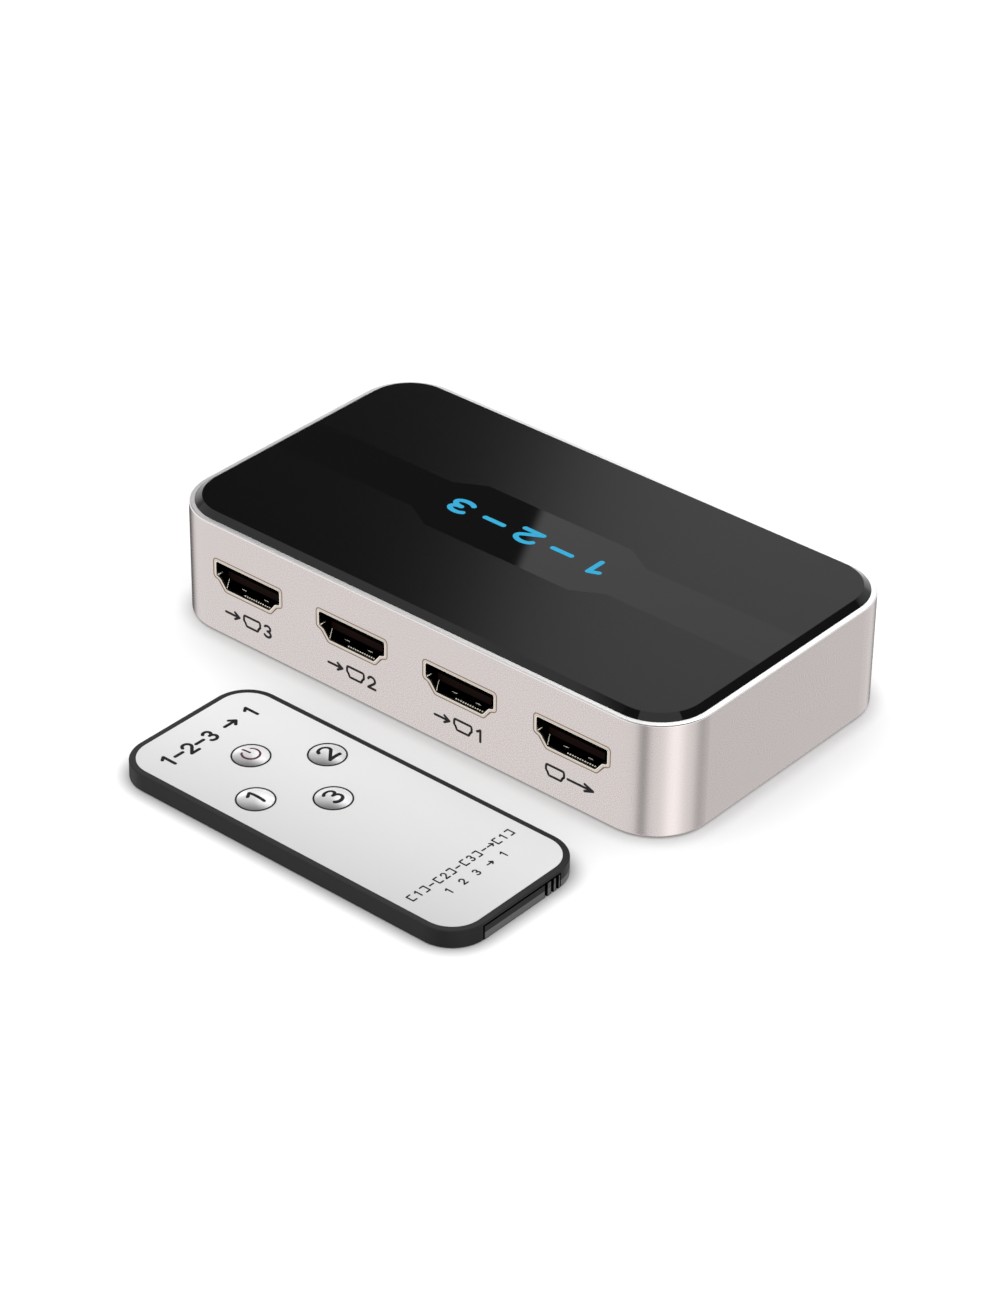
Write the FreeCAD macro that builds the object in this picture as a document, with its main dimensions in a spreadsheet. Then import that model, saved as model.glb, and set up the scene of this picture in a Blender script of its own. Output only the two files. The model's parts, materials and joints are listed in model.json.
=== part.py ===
"""Video switch, three sources to one screen, with its card remote.

Millimetres. The origin is the centre of the pair's footprint on the table. The switch's length runs
along x, z is up, and its sockets face -y, towards the remote that lies in front of it.
"""
import FreeCAD, Part
import math
import os
import re

import Sketcher

# Every size that can be set by itself, by the piece that it belongs to.
DIMENSIONS = {
    # housing: an aluminium ring, open at the top and underneath
    "socket_pitch": 22.6,
    "end_margin": 18.6,
    "housing_depth": 59.0,
    "housing_height": 20.3,
    "housing_corner": 9.9,
    "wall": 1.6,
    "rim": 0.95,
    "edge_round": 0.3,
    "foot_drop": 0.4,
    "boss_inset": 5.9,
    "boss_radius": 3.0,
    # glossy panel on top, and the tape that holds it
    "panel_rise": 0.91,
    "panel_bevel": 1.17,
    "panel_seat": 1.6,
    "panel_gap": 0.05,
    "tape_thick": 0.2,
    # plate underneath, its feet, vents and screws
    "base_thick": 1.6,
    "base_recess": 0.3,
    "base_gap": 0.1,
    "foot_radius": 4.5,
    "foot_seat": 0.8,
    "foot_span_x": 66.0,
    "foot_span_y": 36.0,
    "foot_gap": 0.1,
    "vent_width": 1.6,
    "vent_length": 14.0,
    "vent_pitch": 4.0,
    "vent_row_gap": 3.2,
    "screw_radius": 1.25,
    "screw_head_radius": 2.25,
    "screw_length": 8.0,
    "thread_gap": 0.02,
    "hole_gap": 0.15,
    "recess_width": 0.6,
    "recess_depth": 0.7,
    # circuit board, its posts and screws
    "board_thick": 1.6,
    "board_inset": 1.2,
    "board_gap": 0.4,
    "board_corner": 1.0,
    "post_radius": 2.5,
    "post_span_x": 91.0,
    "post_span_y": 20.0,
    "board_screw_radius": 1.0,
    "board_screw_head": 1.9,
    "board_screw_rise": 1.2,
    "board_screw_length": 5.0,
    # sockets: the opening is the standard one for this plug
    "socket_axis": 11.2,
    "socket_width": 14.0,
    "socket_height": 4.55,
    "socket_side": 2.63,
    "socket_shelf": 1.0,
    "socket_shelf_fall": 0.3,
    "socket_floor": 9.5,
    "socket_corner": 0.45,
    "shell_wall": 0.5,
    "shell_length": 11.4,
    "shell_gap": 0.12,
    "leg_length": 1.4,
    "leg_front": 2.6,
    "leg_pitch": 5.6,
    "leg_below": 0.7,
    "leg_gap": 0.15,
    "block_length": 2.6,
    "block_gap": 0.04,
    "tongue_width": 11.0,
    "tongue_thick": 1.3,
    "tongue_drop": 0.25,
    "tongue_setback": 1.3,
    "contact_pitch": 1.0,
    "contact_width": 0.3,
    "contact_thick": 0.14,
    "contact_setback": 0.5,
    "contact_tail": 0.3,
    "contact_foot": 1.1,
    # parts on the board
    "chip_y": -2.5,
    "chip_side": 10.0,
    "chip_thick": 1.0,
    "chip_edge": 0.15,
    "chip_standoff": 0.15,
    "lead_width": 0.25,
    "lead_pitch": 0.65,
    "lead_reach": 0.9,
    "lead_root": 0.3,
    "lead_thick": 0.3,
    "control_x": 20.0,
    "control_y": 5.0,
    "control_length": 9.9,
    "control_width": 3.9,
    "control_thick": 1.4,
    "crystal_x": 20.0,
    "crystal_y": -2.5,
    "crystal_length": 11.0,
    "crystal_width": 4.6,
    "crystal_height": 3.5,
    "regulator_length": 6.5,
    "regulator_width": 3.5,
    "regulator_thick": 1.7,
    "regulator_gap": 7.0,
    "regulator_tab_length": 3.2,
    "regulator_tab_reach": 3.5,
    "regulator_tab_thick": 0.6,
    "capacitor_x": -12.5,
    "capacitor_y": -2.5,
    "capacitor_radius": 2.5,
    "capacitor_height": 5.4,
    "capacitor_pitch": 8.0,
    # select button and its switch, in the back wall
    "button_x": 24.0,
    "button_rise": 4.0,
    "button_radius": 2.8,
    "button_proud": 0.6,
    "button_gap": 0.15,
    "button_flange": 0.8,
    "button_flange_thick": 0.8,
    "button_float": 0.1,
    "plunger_radius": 1.5,
    "plunger_free": 1.0,
    "plunger_in": 1.2,
    "plunger_gap": 0.1,
    "plunger_bore": 2.2,
    "key_width": 6.4,
    "key_depth": 4.0,
    "key_height": 6.6,
    # lamps, light guide and infrared window, in the back wall
    "lamp_x": -2.0,
    "lamp_pitch": 5.0,
    "lamp_rise": 3.6,
    "lamp_radius": 1.0,
    "lamp_gap": 0.08,
    "guide_back": 1.6,
    "guide_depth": 2.0,
    "guide_height": 2.6,
    "guide_end": 2.0,
    "led_length": 1.6,
    "led_width": 0.8,
    "led_height": 0.8,
    "led_clearance": 0.2,
    "window_x": -20.0,
    "window_rise": 3.6,
    "window_width": 8.0,
    "window_height": 4.4,
    "window_corner": 1.6,
    "window_lip": 0.9,
    "window_lip_thick": 0.6,
    "window_gap": 0.08,
    "receiver_width": 5.6,
    "receiver_depth": 3.6,
    "receiver_height": 6.4,
    "receiver_lens": 1.9,
    "receiver_clearance": 0.3,
    # power jack, in the back wall
    "jack_x": -34.0,
    "jack_rise": 3.4,
    "jack_width": 7.4,
    "jack_depth": 10.5,
    "jack_height": 6.6,
    "jack_collar": 3.1,
    "jack_bore": 1.9,
    "jack_bore_depth": 8.6,
    "jack_pin": 0.65,
    "jack_pin_setback": 1.4,
    "jack_pin_root": 1.6,
    "jack_gap": 0.12,
    "spring_length": 5.4,
    "spring_thick": 0.25,
    "spring_width": 2.4,
    # card remote: case and faceplate
    "remote_x": 10.7,
    "remote_gap": 10.6,
    "remote_length": 70.6,
    "remote_width": 29.8,
    "remote_height": 3.2,
    "remote_corner": 6.26,
    "remote_round": 0.25,
    "border": 1.06,
    "ledge": 0.7,
    "floor_thick": 0.45,
    "plate_thick": 0.5,
    "plate_gap": 0.04,
    # remote's buttons, four of them in a diamond
    "keypad_x": -11.2,
    "keypad_half_x": 8.65,
    "keypad_half_y": 8.05,
    "cap_radius": 2.95,
    "cap_gap": 0.18,
    "cap_dome": 0.5,
    "cap_flange": 0.6,
    "cap_flange_thick": 0.3,
    "cap_float": 0.05,
    "stem_radius": 0.8,
    "stem_length": 0.3,
    # remote's board and what is on it
    "card_rise": 0.4,
    "card_thick": 0.6,
    "card_margin": 1.0,
    "card_end": 13.0,
    "card_post_inset": 3.7,
    "card_post_margin": 2.2,
    "snap_radius": 2.4,
    "snap_height": 0.3,
    "snap_wall": 0.1,
    "die_side": 4.0,
    "die_thick": 0.7,
    "die_setback": 2.0,
    "emitter_length": 2.4,
    "emitter_width": 2.8,
    "emitter_height": 1.0,
    "port_width": 5.0,
    "port_height": 1.1,
    "port_gap": 0.06,
    # remote's battery tray, latch and cell
    "cell_radius": 8.0,
    "cell_thick": 1.6,
    "cell_inset": 10.6,
    "cell_gap": 0.1,
    "cell_step": 0.35,
    "tray_wall": 0.5,
    "tray_lift": 0.2,
    "tray_lip": 0.2,
    "tray_lip_width": 0.9,
    "tray_tail": 0.8,
    "tray_gap": 0.15,
    "end_lift": 0.05,
    "latch_width": 2.9,
    "latch_length": 3.9,
    "latch_height": 2.62,
    "latch_travel": 0.4,
    "latch_gap": 0.12,
    "rib_width": 0.45,
    "rib_depth": 0.35,
    "rib_pitch": 1.15,
    "strip_width": 3.0,
    "strip_length": 14.0,
    "strip_thick": 0.12,
}

SOCKET_NAMES = ("in_3", "in_2", "in_1", "out")
BUTTON_SPOTS = {
    "power": ("keypad_x - keypad_half_x", "0"),
    "1": ("keypad_x", "-keypad_half_y"),
    "2": ("keypad_x", "keypad_half_y"),
    "3": ("keypad_x + keypad_half_x", "0"),
}
UPPER_CONTACTS = 10
LOWER_CONTACTS = 9
CHIP_LEADS = 12
CONTROL_LEADS = 8
VENTS = 7
LAMPS = 4
CAPACITORS = 3

# Lengths, heights and places that follow from the sizes.
SOCKET_SPAN = f"({len(SOCKET_NAMES) - 1} * socket_pitch)"
HOUSING_LENGTH = f"({SOCKET_SPAN} + 2 * end_margin)"
BASE_TOP = "(base_recess + base_thick)"
BOARD_TOP = "(socket_axis - socket_height / 2 - shell_wall)"
BOARD_BOTTOM = f"({BOARD_TOP} - board_thick)"
PANEL_BOTTOM = "(housing_height - panel_seat)"
LEDGE_TOP = "(housing_height - panel_seat - tape_thick)"
BOSS_X = f"({HOUSING_LENGTH} / 2 - boss_inset)"
BOSS_Y = "(housing_depth / 2 - boss_inset)"
BACK = "(housing_depth / 2)"
BUTTON_BACK = "(-wall - button_float - button_flange_thick)"
KEY_FRONT = f"({BUTTON_BACK} - plunger_free)"
PLATE_BOTTOM = "(remote_height - plate_thick)"
CARD_TOP = "(floor_thick + card_rise + card_thick)"
CAVITY_INSET = "(border + ledge)"
CARD_LEFT = f"(-remote_length / 2 + {CAVITY_INSET} + card_margin)"
CARD_HALF = f"(remote_width / 2 - {CAVITY_INSET} - card_margin)"
CELL_X = "(remote_length / 2 - cell_inset)"
TRAY_BOTTOM = "(floor_thick + tray_lift)"
CELL_BOTTOM = f"({TRAY_BOTTOM} + tray_lip)"
TRAY_TOP = f"({CELL_BOTTOM} + cell_thick)"
TRAY_HALF = "(cell_radius + cell_gap + tray_wall)"

# Where each of the two assemblies stands: its own zero, in the part's frame.
ORIGIN = ("0", "0", "0")
SWITCH = ("0", "(remote_gap + remote_width - button_proud) / 2", "foot_drop")
REMOTE = ("remote_x", "-(housing_depth + button_proud + remote_gap) / 2", "0")

doc = FreeCAD.newDocument("video_switch")
sheet = doc.addObject("Spreadsheet::Sheet", "Sizes")
for row, (alias, size) in enumerate(DIMENSIONS.items(), 1):
    sheet.set(f"A{row}", alias)
    sheet.set(f"B{row}", str(size))
    sheet.setAlias(f"B{row}", alias)
doc.recompute()

nodes = []


def formula(text):
    """Point every size that a formula names at its cell."""
    return re.sub(r"[a-z]\w+", lambda word: name_cell(word.group()), str(text))


def name_cell(word):
    return f"Sizes.{word}" if word in DIMENSIONS else word


def value(text):
    return float(sheet.evalExpression(formula(text)))


def shifted(frame, spot):
    return tuple(f"({base}) + ({step})" for base, step in zip(frame, spot))


def put(thing, spot):
    """Bind a thing's place to three formulas."""
    for axis, text in zip("xyz", spot):
        thing.setExpression(f"Placement.Base.{axis}", formula(text))


def keep(thing, name, spot=ORIGIN):
    """Give a finished sub-part its name and its place."""
    thing.Label = name
    put(thing, spot)
    nodes.append(thing)
    return thing


def new_body(name):
    return doc.addObject("PartDesign::Body", f"body_{name}")


def origin_feature(body, role):
    for feature in body.Origin.OriginFeatures:
        if feature.Role == role:
            return feature
    raise ValueError(f"no {role}")


def new_sketch(body, role, lift):
    sketch = body.newObject("Sketcher::SketchObject", "sketch")
    sketch.AttachmentSupport = (origin_feature(body, role), [""])
    sketch.MapMode = "FlatFace"
    sketch.setExpression("AttachmentOffset.Base.z", formula(lift))
    return sketch


def hold(sketch, kind, *where, size):
    """Add a dimension whose value follows a formula."""
    index = sketch.addConstraint(Sketcher.Constraint(kind, *where, value(size)))
    sketch.setExpression(f"Constraints[{index}]", formula(size))


def add_corners(sketch, points, construction):
    """Add straight sides from corner to corner, and pin each corner to its formulas."""
    first = sketch.GeometryCount
    corners = [FreeCAD.Vector(value(x), value(y), 0) for x, y in points]
    for start, end in zip(corners, corners[1:] + corners[:1]):
        sketch.addGeometry(Part.LineSegment(start, end), construction)
    for step, (x, y) in enumerate(points):
        line = first + step
        after = first + (step + 1) % len(points)
        sketch.addConstraint(Sketcher.Constraint("Coincident", line, 2, after, 1))
        hold(sketch, "DistanceX", line, 1, size=x)
        hold(sketch, "DistanceY", line, 1, size=y)
    return first, corners


def add_outline(sketch, points, radius=None):
    """Add a closed outline. With a radius, an arc touches both sides at every corner."""
    first, corners = add_corners(sketch, points, radius is not None)
    if radius is None:
        return
    count = len(corners)
    size = value(radius)
    arcs = []
    for step, corner in enumerate(corners):
        inward = (corner - corners[step - 1]).normalize()
        outward = (corners[(step + 1) % count] - corner).normalize()
        turn = inward.cross(outward).z
        reach = size * math.tan(inward.getAngle(outward) / 2)
        side = FreeCAD.Vector(-inward.y, inward.x, 0) * (size if turn > 0 else -size)
        start = corner - inward * reach
        end = corner + outward * reach
        arcs.append((start, end, start + side, turn > 0))
    for step in range(count):
        line = Part.LineSegment(arcs[step][1], arcs[(step + 1) % count][0])
        sketch.addGeometry(line, False)
    for start, end, centre, left in arcs:
        low, high = (start, end) if left else (end, start)
        from_angle = math.atan2(low.y - centre.y, low.x - centre.x)
        to_angle = math.atan2(high.y - centre.y, high.x - centre.x)
        if to_angle < from_angle:
            to_angle += 2 * math.pi
        circle = Part.Circle(centre, FreeCAD.Vector(0, 0, 1), size)
        sketch.addGeometry(Part.ArcOfCircle(circle, from_angle, to_angle), False)
    for step in range(count):
        guide = first + step
        line = first + count + step
        arc = first + 2 * count + step
        begins, ends = (1, 2) if arcs[step][3] else (2, 1)
        before = first + count + (step - 1) % count
        sketch.addConstraint(Sketcher.Constraint("PointOnObject", line, 1, guide))
        sketch.addConstraint(Sketcher.Constraint("PointOnObject", line, 2, guide))
        sketch.addConstraint(Sketcher.Constraint("Tangent", before, 2, arc, begins))
        sketch.addConstraint(Sketcher.Constraint("Tangent", arc, ends, line, 1))
        hold(sketch, "Radius", arc, size=radius)


def add_circle(sketch, x, y, radius):
    centre = FreeCAD.Vector(value(x), value(y), 0)
    index = sketch.addGeometry(Part.Circle(centre, FreeCAD.Vector(0, 0, 1), value(radius)), False)
    hold(sketch, "DistanceX", index, 3, size=x)
    hold(sketch, "DistanceY", index, 3, size=y)
    hold(sketch, "Radius", index, size=radius)


def rectangle(low_x, low_y, high_x, high_y):
    return [(low_x, low_y), (high_x, low_y), (high_x, high_y), (low_x, high_y)]


def centred(width, depth):
    return rectangle(f"-({width}) / 2", f"-({depth}) / 2", f"({width}) / 2", f"({depth}) / 2")


def sketch_outline(body, role, lift, points, radius=None):
    sketch = new_sketch(body, role, lift)
    add_outline(sketch, points, radius)
    return sketch


def sketch_circles(body, role, lift, spots, radius):
    sketch = new_sketch(body, role, lift)
    for x, y in spots:
        add_circle(sketch, x, y, radius)
    return sketch


def pad(body, sketch, length, backwards=False):
    feature = body.newObject("PartDesign::Pad", "pad")
    feature.Profile = sketch
    feature.setExpression("Length", formula(length))
    feature.Reversed = backwards
    return feature


def pocket(body, sketch, depth=None, backwards=False):
    """Cut a sketch into the body, right through when no depth is given, and see that it cuts."""
    doc.recompute()
    volume = body.Tip.Shape.Volume
    feature = body.newObject("PartDesign::Pocket", "pocket")
    feature.Profile = sketch
    feature.Reversed = backwards
    if depth is None:
        feature.Type = "ThroughAll"
    else:
        feature.setExpression("Length", formula(depth))
    doc.recompute()
    if feature.Shape.Volume >= volume - 1e-6:
        raise RuntimeError(f"a pocket of {body.Name} cuts nothing")
    return feature


def revolve(body, points, role="XZ_Plane"):
    """Turn an outline drawn in a plane of the body about that plane's upright axis."""
    sketch = sketch_outline(body, role, "0", points)
    feature = body.newObject("PartDesign::Revolution", "revolution")
    feature.Profile = sketch
    feature.ReferenceAxis = (sketch, ["V_Axis"])
    feature.Angle = 360
    return feature


def repeat(body, feature, role, span, count):
    pattern = body.newObject("PartDesign::LinearPattern", "row")
    pattern.Originals = [feature]
    pattern.Direction = (origin_feature(body, role), [""])
    pattern.setExpression("Length", formula(span))
    pattern.Occurrences = count
    body.Tip = pattern
    return pattern


def edges_where(body, wanted):
    doc.recompute()
    edges = enumerate(body.Tip.Shape.Edges, 1)
    return [f"Edge{number}" for number, edge in edges if wanted(edge)]


def dress(body, kind, wanted, size_name, size):
    """Round or chamfer the edges of the body that a test picks."""
    names = edges_where(body, wanted)
    base = body.Tip
    feature = body.newObject(f"PartDesign::{kind}", kind.lower())
    feature.Base = (base, names)
    feature.setExpression(size_name, formula(size))
    return feature


def lies_at(height, tolerance=1e-4):
    """Pick the edges that lie level at a height."""
    def wanted(edge):
        box = edge.BoundBox
        return abs(box.ZMin - height) < tolerance and abs(box.ZMax - height) < tolerance
    return wanted


def box(spot, size):
    """A block from its lowest corner."""
    thing = doc.addObject("Part::Box", "block")
    for name, text in zip(("Length", "Width", "Height"), size):
        thing.setExpression(name, formula(text))
    put(thing, spot)
    return thing


def rod(spot, radius, length, along_y=False):
    """A round bar from the centre of its lower end, or of its front end."""
    thing = doc.addObject("Part::Cylinder", "rod")
    thing.setExpression("Radius", formula(radius))
    thing.setExpression("Height", formula(length))
    if along_y:
        turn = FreeCAD.Rotation(FreeCAD.Vector(1, 0, 0), -90)
        thing.Placement = FreeCAD.Placement(FreeCAD.Vector(), turn)
    put(thing, spot)
    return thing


def cut(base, tool):
    thing = doc.addObject("Part::Cut", "cut")
    thing.Base = base
    thing.Tool = tool
    return thing


def common(base, tool):
    thing = doc.addObject("Part::Common", "common")
    thing.Base = base
    thing.Tool = tool
    return thing


def fuse(things):
    thing = doc.addObject("Part::MultiFuse", "fused")
    thing.Shapes = things
    return thing


def group(things):
    thing = doc.addObject("Part::Compound", "group")
    thing.Links = things
    return thing


def four_corners(x, y):
    return [(f"{a}({x})", f"{b}({y})") for a in ("-", "") for b in ("-", "")]


def housing_outline(inset):
    """The ring's plan, drawn in from its outer face, and the corner radius that goes with it."""
    plan = centred(f"{HOUSING_LENGTH} - 2 * ({inset})", f"housing_depth - 2 * ({inset})")
    return plan, f"housing_corner - ({inset})"


def remote_outline(inset):
    plan = centred(f"remote_length - 2 * ({inset})", f"remote_width - 2 * ({inset})")
    return plan, f"remote_corner - ({inset})"


# How far each corner of the socket's outline moves when its walls are made 1 mm thicker.
SIDE_GROWTH = 0.71
SHELF_GROWTH_X = 0.60
SHELF_GROWTH_Z = 0.85
FLOOR_GROWTH = 0.48


def socket_outline(grow):
    """The socket's opening, wide side up, made larger all round by a formula."""
    top = f"socket_height / 2 + ({grow})"
    low = f"-socket_height / 2 - ({grow})"
    half = f"socket_width / 2 + ({grow})"
    side = f"socket_height / 2 - socket_side - {SIDE_GROWTH} * ({grow})"
    shelf = f"socket_width / 2 - socket_shelf + {SHELF_GROWTH_X} * ({grow})"
    step = f"socket_height / 2 - socket_side - socket_shelf_fall - {SHELF_GROWTH_Z} * ({grow})"
    floor = f"socket_floor / 2 + {FLOOR_GROWTH} * ({grow})"
    return [
        (half, top), (f"-({half})", top), (f"-({half})", side), (f"-({shelf})", step),
        (f"-({floor})", low), (floor, low), (shelf, step), (half, side),
    ]


def socket_x(index):
    return f"({index} * socket_pitch - {SOCKET_SPAN} / 2)"


def make_housing():
    body = new_body("housing")
    pad(body, sketch_outline(body, "XY_Plane", "0", *housing_outline("0")), "housing_height")
    dress(body, "Fillet", lambda edge: lies_at(0)(edge) or lies_at(value("housing_height"))(edge),
          "Radius", "edge_round")
    pocket(body, sketch_outline(body, "XY_Plane", "housing_height", *housing_outline("wall")))
    pocket(body, sketch_outline(body, "XY_Plane", "housing_height", *housing_outline("rim")),
           "panel_seat + tape_thick")
    pocket(body, sketch_outline(body, "XY_Plane", "0", *housing_outline("rim")),
           BASE_TOP, backwards=True)
    bosses = four_corners(BOSS_X, BOSS_Y)
    pad(body, sketch_circles(body, "XY_Plane", BASE_TOP, bosses, "boss_radius"),
        f"{LEDGE_TOP} - {BASE_TOP}")
    pocket(body, sketch_circles(body, "XY_Plane", BASE_TOP, bosses, "screw_radius + thread_gap"),
           "screw_length", backwards=True)
    cut_socket_holes(body)
    cut_back_holes(body)
    return keep(body, "housing", SWITCH)


def cut_socket_holes(body):
    sketch = new_sketch(body, "XZ_Plane", BACK)
    points = socket_outline("shell_wall + shell_gap")
    first = socket_x(0)
    moved = [(f"{first} + {x}", f"socket_axis + {z}") for x, z in points]
    add_outline(sketch, moved, "socket_corner + shell_wall")
    hole = pocket(body, sketch, "shell_length")
    repeat(body, hole, "X_Axis", SOCKET_SPAN, len(SOCKET_NAMES))


def cut_back_holes(body):
    """Button, lamps, infrared window and power jack go through the back wall."""
    sketch = new_sketch(body, "XZ_Plane", f"-({BACK} - wall - boss_radius)")
    add_circle(sketch, "button_x", f"{BOARD_TOP} + button_rise", "button_radius + button_gap")
    for step in range(LAMPS):
        add_circle(sketch, lamp_x(step), f"{BOARD_TOP} + lamp_rise", "lamp_radius + lamp_gap")
    add_circle(sketch, "jack_x", f"{BOARD_TOP} + jack_rise", "jack_collar + jack_gap")
    low = f"{BOARD_TOP} + window_rise - window_height / 2 - window_gap"
    high = f"{BOARD_TOP} + window_rise + window_height / 2 + window_gap"
    left = "window_x - window_width / 2 - window_gap"
    right = "window_x + window_width / 2 + window_gap"
    add_outline(sketch, rectangle(left, low, right, high), "window_corner + window_gap")
    pocket(body, sketch)


def lamp_x(step):
    return f"lamp_x + ({step} - {LAMPS - 1} / 2) * lamp_pitch"


def make_panel():
    """Black panel whose edge is bevelled from the rim up to its flat top."""
    body = new_body("panel")
    inset = "rim + panel_gap"
    pad(body, sketch_outline(body, "XY_Plane", PANEL_BOTTOM, *housing_outline(inset)), "panel_seat")
    loft = body.newObject("PartDesign::AdditiveLoft", "bevel")
    loft.Profile = sketch_outline(body, "XY_Plane", "housing_height", *housing_outline(inset))
    loft.Sections = [sketch_outline(body, "XY_Plane", "housing_height + panel_rise",
                                    *housing_outline(f"{inset} + panel_bevel"))]
    loft.Ruled = True
    keep(body, "top_panel", SWITCH)

    tape = new_body("tape")
    pad(tape, sketch_outline(tape, "XY_Plane", LEDGE_TOP, *housing_outline(inset)), "tape_thick")
    pocket(tape, sketch_outline(tape, "XY_Plane", PANEL_BOTTOM, *housing_outline("wall")))
    keep(tape, "panel_tape", SWITCH)


def make_base():
    body = new_body("base")
    pad(body, sketch_outline(body, "XY_Plane", "base_recess", *housing_outline("rim + base_gap")),
        "base_thick")
    posts = four_corners("post_span_x / 2", "post_span_y / 2")
    pad(body, sketch_circles(body, "XY_Plane", BASE_TOP, posts, "post_radius"),
        f"{BOARD_BOTTOM} - {BASE_TOP}")
    pocket(body, sketch_circles(body, "XY_Plane", BOARD_BOTTOM, posts,
                                "board_screw_radius + thread_gap"),
           "board_screw_length - board_thick")
    feet = four_corners("foot_span_x / 2", "foot_span_y / 2")
    pocket(body, sketch_circles(body, "XY_Plane", "base_recess", feet, "foot_radius + foot_gap"),
           "foot_seat", backwards=True)
    for side in ("-", ""):
        middle = f"{side}(vent_length + vent_row_gap) / 2"
        vent = rectangle(f"-({VENTS} - 1) / 2 * vent_pitch - vent_width / 2",
                         f"{middle} - vent_length / 2",
                         f"-({VENTS} - 1) / 2 * vent_pitch + vent_width / 2",
                         f"{middle} + vent_length / 2")
        slot = pocket(body, sketch_outline(body, "XY_Plane", BASE_TOP, vent), "base_thick + foot_drop")
        repeat(body, slot, "X_Axis", f"({VENTS} - 1) * vent_pitch", VENTS)
    holes = four_corners(BOSS_X, BOSS_Y)
    pocket(body, sketch_circles(body, "XY_Plane", BASE_TOP, holes, "screw_radius + hole_gap"))
    hole = value("screw_radius + hole_gap")
    base = lies_at(value("base_recess"))
    dress(body, "Chamfer",
          lambda edge: base(edge) and abs(edge.BoundBox.XLength - 2 * hole) < 1e-3,
          "Size", "screw_head_radius - screw_radius")
    keep(body, "base_plate", SWITCH)


def make_feet():
    body = new_body("feet")
    spots = four_corners("foot_span_x / 2", "foot_span_y / 2")
    pad(body, sketch_circles(body, "XY_Plane", "-foot_drop", spots, "foot_radius"),
        "foot_drop + base_recess + foot_seat")
    dress(body, "Fillet", lies_at(value("-foot_drop")), "Radius", "foot_drop")
    keep(body, "rubber_feet", SWITCH)


def make_screws(name, spot, span, profile, drive_face, drive_upwards, drive_half):
    """Four screws with a cross in the head, from one turned profile and its grid."""
    body = new_body(name)
    revolve(body, profile)
    for across, along in ((drive_half, "recess_width / 2"), ("recess_width / 2", drive_half)):
        slot = rectangle(f"-({across})", f"-({along})", across, along)
        pocket(body, sketch_outline(body, "XY_Plane", drive_face, slot), "recess_depth",
               backwards=drive_upwards)
    grid = body.newObject("PartDesign::LinearPattern", "grid")
    grid.TransformMode = "Whole shape"
    grid.Direction = (origin_feature(body, "X_Axis"), [""])
    grid.setExpression("Length", formula(span[0]))
    grid.Occurrences = 2
    grid.Direction2 = (origin_feature(body, "Y_Axis"), [""])
    grid.setExpression("Length2", formula(span[1]))
    grid.Occurrences2 = 2
    body.Tip = grid
    keep(body, name, shifted(SWITCH, spot))


def make_all_screws():
    cone = "(screw_head_radius - screw_radius)"
    countersunk = [
        ("0", "0"), ("screw_head_radius", "0"), ("screw_radius", cone),
        ("screw_radius", "base_thick + screw_length - hole_gap"),
        ("0", "base_thick + screw_length - hole_gap"),
    ]
    make_screws("base_screws", (f"-{BOSS_X}", f"-{BOSS_Y}", "base_recess"),
                (f"2 * {BOSS_X}", f"2 * {BOSS_Y}"), countersunk, "0", True, "screw_radius")
    tip = "(hole_gap - board_screw_length)"
    pan = [
        ("0", tip), ("board_screw_radius", tip), ("board_screw_radius", "0"),
        ("board_screw_head", "0"), ("board_screw_head", "board_screw_rise"),
        ("0", "board_screw_rise"),
    ]
    make_screws("board_screws", ("-post_span_x / 2", "-post_span_y / 2", BOARD_TOP),
                ("post_span_x", "post_span_y"), pan, "board_screw_rise", False,
                "board_screw_radius")


def make_board():
    body = new_body("board")
    far_x = f"({HOUSING_LENGTH} / 2 - wall - board_inset)"
    far_y = "(housing_depth / 2 - wall - board_inset)"
    near_x = f"({BOSS_X} - boss_radius - board_gap)"
    near_y = f"({BOSS_Y} - boss_radius - board_gap)"
    quarter = [(far_x, near_y), (near_x, near_y), (near_x, far_y)]
    points = quarter + [(f"-{x}", y) for x, y in reversed(quarter)]
    points += [(f"-{x}", f"-{y}") for x, y in quarter]
    points += [(x, f"-{y}") for x, y in reversed(quarter)]
    pad(body, sketch_outline(body, "XY_Plane", BOARD_BOTTOM, points, "board_corner"), "board_thick")
    holes = four_corners("post_span_x / 2", "post_span_y / 2")
    pocket(body, sketch_circles(body, "XY_Plane", BOARD_TOP, holes, "board_screw_radius + hole_gap"))
    slots = new_sketch(body, "XY_Plane", BOARD_TOP)
    middle = "(socket_width / 2 + shell_wall / 2)"
    half = "(shell_wall / 2 + leg_gap)"
    for side in ("-", ""):
        for leg in ("leg_front", "(leg_front + leg_pitch)"):
            x = f"{socket_x(0)} + {side}{middle}"
            y = f"-{BACK} + {leg}"
            add_outline(slots, rectangle(f"{x} - {half}", f"{y} - leg_gap", f"{x} + {half}",
                                         f"{y} + leg_length + leg_gap"))
    cut_slots = pocket(body, slots)
    repeat(body, cut_slots, "X_Axis", SOCKET_SPAN, len(SOCKET_NAMES))
    keep(body, "main_board", SWITCH)


def make_sockets():
    """Four alike, each from one modelled shell, insulator and set of contacts."""
    contacts = make_contacts()
    pieces = {
        "shell": make_shell(),
        "insulator": cut(make_insulator(), contacts),
        "contacts": contacts,
    }
    for index, name in enumerate(SOCKET_NAMES):
        spot = shifted(SWITCH, (socket_x(index), f"-{BACK}", "socket_axis"))
        for piece, made in pieces.items():
            keep(group([made]), f"socket_{piece}_{name}", spot)


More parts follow.
